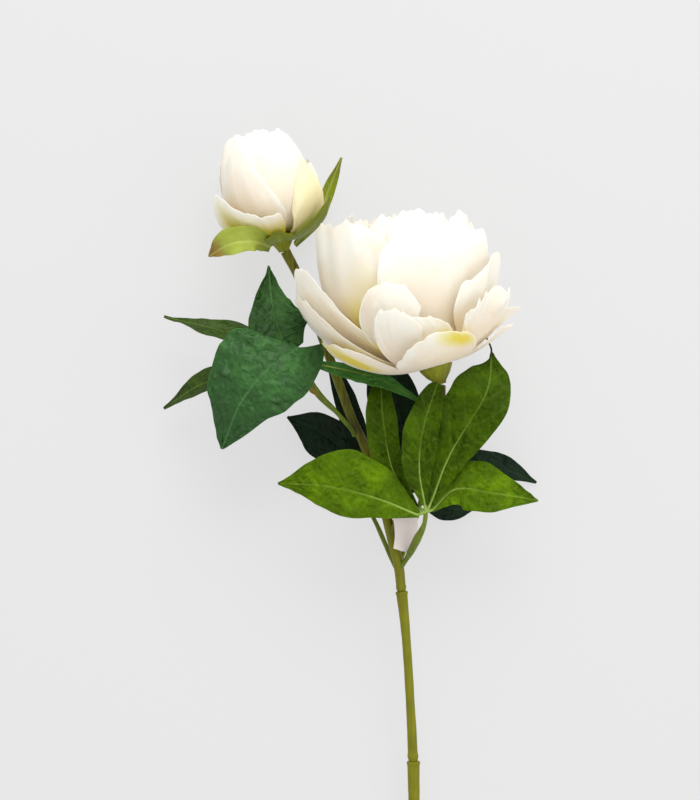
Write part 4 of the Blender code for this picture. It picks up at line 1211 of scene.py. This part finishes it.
def add_heart(head, count, petals, material, outer, length, width):
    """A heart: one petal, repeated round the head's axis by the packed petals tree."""
    share = np.linspace(0, 1.5, PROFILE_STEPS * 3 // 2 + 1)
    line = np.stack([width * 0.30 * np.sin(share), length * share], -1)
    pattern = Petal("", 0, 70, 1.0, wave=1.6, waves=4.0, nick=1.6, curl=1.0, flare=0.0)
    u, _, radius, turn, height = petal_points(line, pattern, 40, HEART_GRID)
    # The blade curves round a centre of its own, so that it stands at the spiral's radius.
    reach = width / 2
    local = np.stack([reach * 0.6 * (np.cos(turn) - 1) + radius * 0.45,
                      reach * np.sin(turn) * (0.25 + 0.75 * smooth(0, 0.5, u)), height], -1)
    leaf = sheet_object("pattern_petal", local - SHIFT, petals.thickness, material,
                        {"glow": 0.0, "green": 0.0})
    mesh = leaf.data
    bpy.data.objects.remove(leaf)
    low, high = head.heart_span
    mesh.transform(Matrix.Translation((0, 0, low * 0.4 * MM)))
    values = {"Count": count, "Inner Radius": 1.0 * MM, "Outer Radius": outer * MM,
              "Inner Lean": -0.02, "Outer Lean": 0.13, "Smallest": 0.84, "Ruffle": petals.ruffle,
              "Ruffle Size": 9 * MM, "Height": high * MM, "Seed": 7, "Material": material}
    tree = tree_once("packed_petals", packed_petals_tree)
    obj = run_tree(f"{head.name}_heart", tree, mesh, values, head)
    return settle(obj, "petal", f"{head.name}_heart")


def add_stamens(head, petals):
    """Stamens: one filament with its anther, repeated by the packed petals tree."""
    bm = bmesh.new()
    rings = [[bm.verts.new((radius * MM * math.cos(turn), radius * MM * math.sin(turn),
                            height * MM))
              for turn in np.arange(STAMEN_SIDES) * math.tau / STAMEN_SIDES]
             for radius, height in STAMEN_PROFILE]
    top = bm.verts.new((0, 0, STAMEN_HEIGHT * MM))
    for k in range(STAMEN_SIDES):
        after = (k + 1) % STAMEN_SIDES
        for low, high in zip(rings, rings[1:]):
            bm.faces.new((low[k], low[after], high[after], high[k]))
        bm.faces.new((rings[-1][k], rings[-1][after], top))
    bm.faces.new(rings[0][::-1])
    mesh = bpy.data.meshes.new("pattern_stamen")
    bm.to_mesh(mesh)
    bm.free()
    mesh.transform(Matrix.Translation((0, 0, head.receptacle_radius * 0.8 * MM)))
    material = material_once("stamen_flock", pollen_plastic)
    values = {"Count": petals.stamens, "Inner Radius": 0.5 * MM, "Outer Radius": 5 * MM,
              "Inner Lean": 0.0, "Outer Lean": 0.25, "Smallest": 0.8, "Ruffle": 1.5 * MM,
              "Ruffle Size": 8 * MM, "Height": 30 * MM, "Seed": 3, "Material": material}
    tree = tree_once("packed_petals", packed_petals_tree)
    return settle(run_tree("bloom_stamens", tree, mesh, values, head), "petal")


class PEONY_OT_calyces(bpy.types.Operator):
    """Make the calyx cups and the bud's sepals"""
    bl_idname = "peony.calyces"
    bl_label = "Calyces and sepals"

    def execute(self, context):
        leaves = settings_of(context)[1]
        tints = {
            "sepal_left": material_once("sepal_satin_light", sepal_cloth, linear("#a8b828"),
                                        linear("#dcea60"), linear("#cc8c44")),
            "": material_once("sepal_satin", sepal_cloth, linear("#7c8c0c"), linear("#aaba18"),
                              linear("#a4a83a")),
        }
        cup = material_once("calyx_polyethylene", stem_plastic, linear("#8b8f1a"),
                            linear("#5f6410"), 0.6)
        for head in (BLOOM, BUD):
            add_calyx(head, cup)
        for sepal in SEPALS:
            add_hugging_sepal(sepal, tints[""], leaves)
        for sepal in LOOSE_SEPALS:
            points, vein_map = blade_points(sepal, SEPAL_GRID, leaves.vein_depth / MM * 0.5)
            cloth = tints.get(sepal.name, tints[""])
            obj = sheet_object(sepal.name, points, leaves.thickness, cloth, {"vein": vein_map})
            settle(obj, "sepal", sepal.name)
        return {"FINISHED"}


def add_calyx(head, material):
    """The cup: a moulded tube whose radius follows the dome, with ribs from foot to rim."""
    radius, depth = head.receptacle_radius, head.calyx_depth
    foot = BRANCH_RADIUS + 0.6
    heights = [-depth - 1.2, -depth, -depth * 0.6, -depth * 0.2, 0.0, radius * 0.5, radius * 0.85,
               radius * 0.98]
    widths = [foot * 0.9, foot, radius * 0.72, radius * 0.96, radius, radius * 0.87,
              radius * 0.53, radius * 0.12]
    places = np.linspace(heights[0], heights[-1], 44)
    profile = np.interp(places, heights, widths)
    points = np.array(head.seat) + places[:, None] * unit(head.axis)
    name = f"{head.name}_calyx"
    return settle(moulded_tube(name, points, profile, material, 60, 10, 0.22, 0.5, 6), "sepal",
                  name)


def add_hugging_sepal(sepal, material, leaves):
    line = whorl_line(BUD.receptacle_radius, SEPAL_START, sepal.lean_foot, sepal.lean_tip,
                      sepal.length, 1.2)
    u = np.linspace(0, 1, SEPAL_GRID[0])[:, None]
    v = np.linspace(-1, 1, SEPAL_GRID[1])[None, :]
    radius, height = line_at(line, u)
    half = math.radians(sepal.spread) * line[0, 0] * (1 + 1.2 * np.sin(math.pi * u ** 0.8))
    half = half * (1 - 0.92 * u ** 3)
    turn = v * half / radius
    radius = radius + 0.4 * np.abs(v) ** 2 * ripple(u * 9, 61) + 0.25 * np.abs(v)
    points = round_head(BUD, radius, turn + math.radians(sepal.place),
                        height + np.zeros_like(turn))
    rib = np.exp(-(v / 0.1) ** 2) * (1 - u)
    obj = sheet_object(sepal.name, points, leaves.thickness, material, {"vein": rib})
    return settle(obj, "sepal", sepal.name)


class PEONY_OT_tag(bpy.types.Operator):
    """Make the blank paper tag"""
    bl_idname = "peony.tag"
    bl_label = "Tag"

    def execute(self, context):
        t = np.linspace(0, 1, 30)
        v = np.linspace(-1, 1, 13)[None, :, None]
        half = np.interp(t, [0, 1], TAG_HALF_WIDTHS)[:, None, None]
        middle = route_points(TAG_MIDDLE, t)[:, None, :]
        points = middle + unit(TAG_ACROSS) * v * half
        points = points + UP * 0.35 * ripple(t * 5, 9)[:, None, None] * np.abs(v)
        obj = sheet_object("paper_tag", points, 0.25 * MM, material_once("tag_paper", label_paper),
                           {})
        settle(obj, "tag", "paper_tag")
        return {"FINISHED"}


class PEONY_OT_stage(bpy.types.Operator):
    """Make the floor, the lights and the camera"""
    bl_idname = "peony.stage"
    bl_label = "Stage"

    def execute(self, context):
        stage = settings_of(context)[3]
        add_floor(stage)
        centre = Vector(to_frame(VIEW_CENTRE))
        for name, (place, share) in SOFTBOXES.items():
            add_softbox(name, centre + Vector(place), centre, stage.key_power * share)
        world = bpy.data.worlds.new("studio")
        world.use_nodes = True
        background = world.node_tree.nodes["Background"]
        background.inputs["Color"].default_value = WHITE
        background.inputs["Strength"].default_value = stage.fill
        context.scene.world = world
        camera = linked("camera", bpy.data.cameras.new("camera"))
        camera.data.lens = stage.lens
        camera.data.sensor_width = 36.0
        camera.location = centre + Vector((0.0, 0.0, stage.camera_height))
        camera.data.clip_start, camera.data.clip_end = 0.1, 20.0
        context.scene.camera = camera
        context.scene.view_settings.view_transform = "Standard"
        return {"FINISHED"}


def add_floor(stage):
    """A plain frosted acrylic sweep, lit from behind, which thins the shadows on it."""
    material, nodes = new_material("floor_acrylic")
    tone = nodes.noise(nodes.add("ShaderNodeTexCoord", output="Object"), 3.0)
    darker = [0.995 * part for part in stage.floor]
    nodes.output(nodes.surface(nodes.blend(tone, stage.floor, darker), 0.95, **{
        "Specular IOR Level": 0.1, "Emission Color": WHITE,
        "Emission Strength": stage.floor_glow}))
    corners = [(x * FLOOR_HALF, y * FLOOR_HALF, FLOOR_DROP)
               for x, y in ((-1, -1), (1, -1), (1, 1), (-1, 1))]
    mesh = bpy.data.meshes.new("floor")
    mesh.from_pydata(corners, [], [(0, 1, 2, 3)])
    mesh.materials.append(material)
    linked("floor", mesh)


def add_softbox(name, place, aim, power):
    """A square area light that faces a point."""
    light = bpy.data.lights.new(name, "AREA")
    light.energy = power
    light.size = SOFTBOX_SIZE
    softbox = linked(name, light)
    softbox.location = place
    softbox.rotation_euler = (aim - place).to_track_quat("-Z", "Y").to_euler()


class PEONY_PT_panel(bpy.types.Panel):
    """Lists the pieces of the spray"""
    bl_idname = "PEONY_PT_panel"
    bl_label = "Peony spray"
    bl_space_type = "VIEW_3D"
    bl_region_type = "UI"
    bl_category = "Peony"

    def draw(self, context):
        for operator in OPERATORS:
            self.layout.operator(operator.bl_idname)
        for group in settings_of(context):
            box = self.layout.box()
            for name in group.__annotations__:
                box.prop(group, name)


OPERATORS = (PEONY_OT_stems, PEONY_OT_leaves, PEONY_OT_petals, PEONY_OT_hearts, PEONY_OT_calyces,
             PEONY_OT_tag, PEONY_OT_stage)
GROUPS = {"peony_petals": PetalSettings, "peony_leaves": LeafSettings, "peony_stem": StemSettings,
          "peony_stage": StageSettings}


def register():
    for group in GROUPS.values():
        bpy.utils.register_class(group)
    for name, group in GROUPS.items():
        setattr(bpy.types.Scene, name, bpy.props.PointerProperty(type=group))
    for operator in OPERATORS:
        bpy.utils.register_class(operator)
    bpy.utils.register_class(PEONY_PT_panel)


def unregister():
    bpy.utils.unregister_class(PEONY_PT_panel)
    for operator in reversed(OPERATORS):
        bpy.utils.unregister_class(operator)
    for name, group in GROUPS.items():
        delattr(bpy.types.Scene, name)
        bpy.utils.unregister_class(group)


def main():
    """Makes every piece."""
    register()
    bpy.ops.peony.stems()
    bpy.ops.peony.leaves()
    bpy.ops.peony.petals()
    bpy.ops.peony.hearts()
    bpy.ops.peony.calyces()
    bpy.ops.peony.tag()
    bpy.ops.peony.stage()


if __name__ == "__main__":
    main()
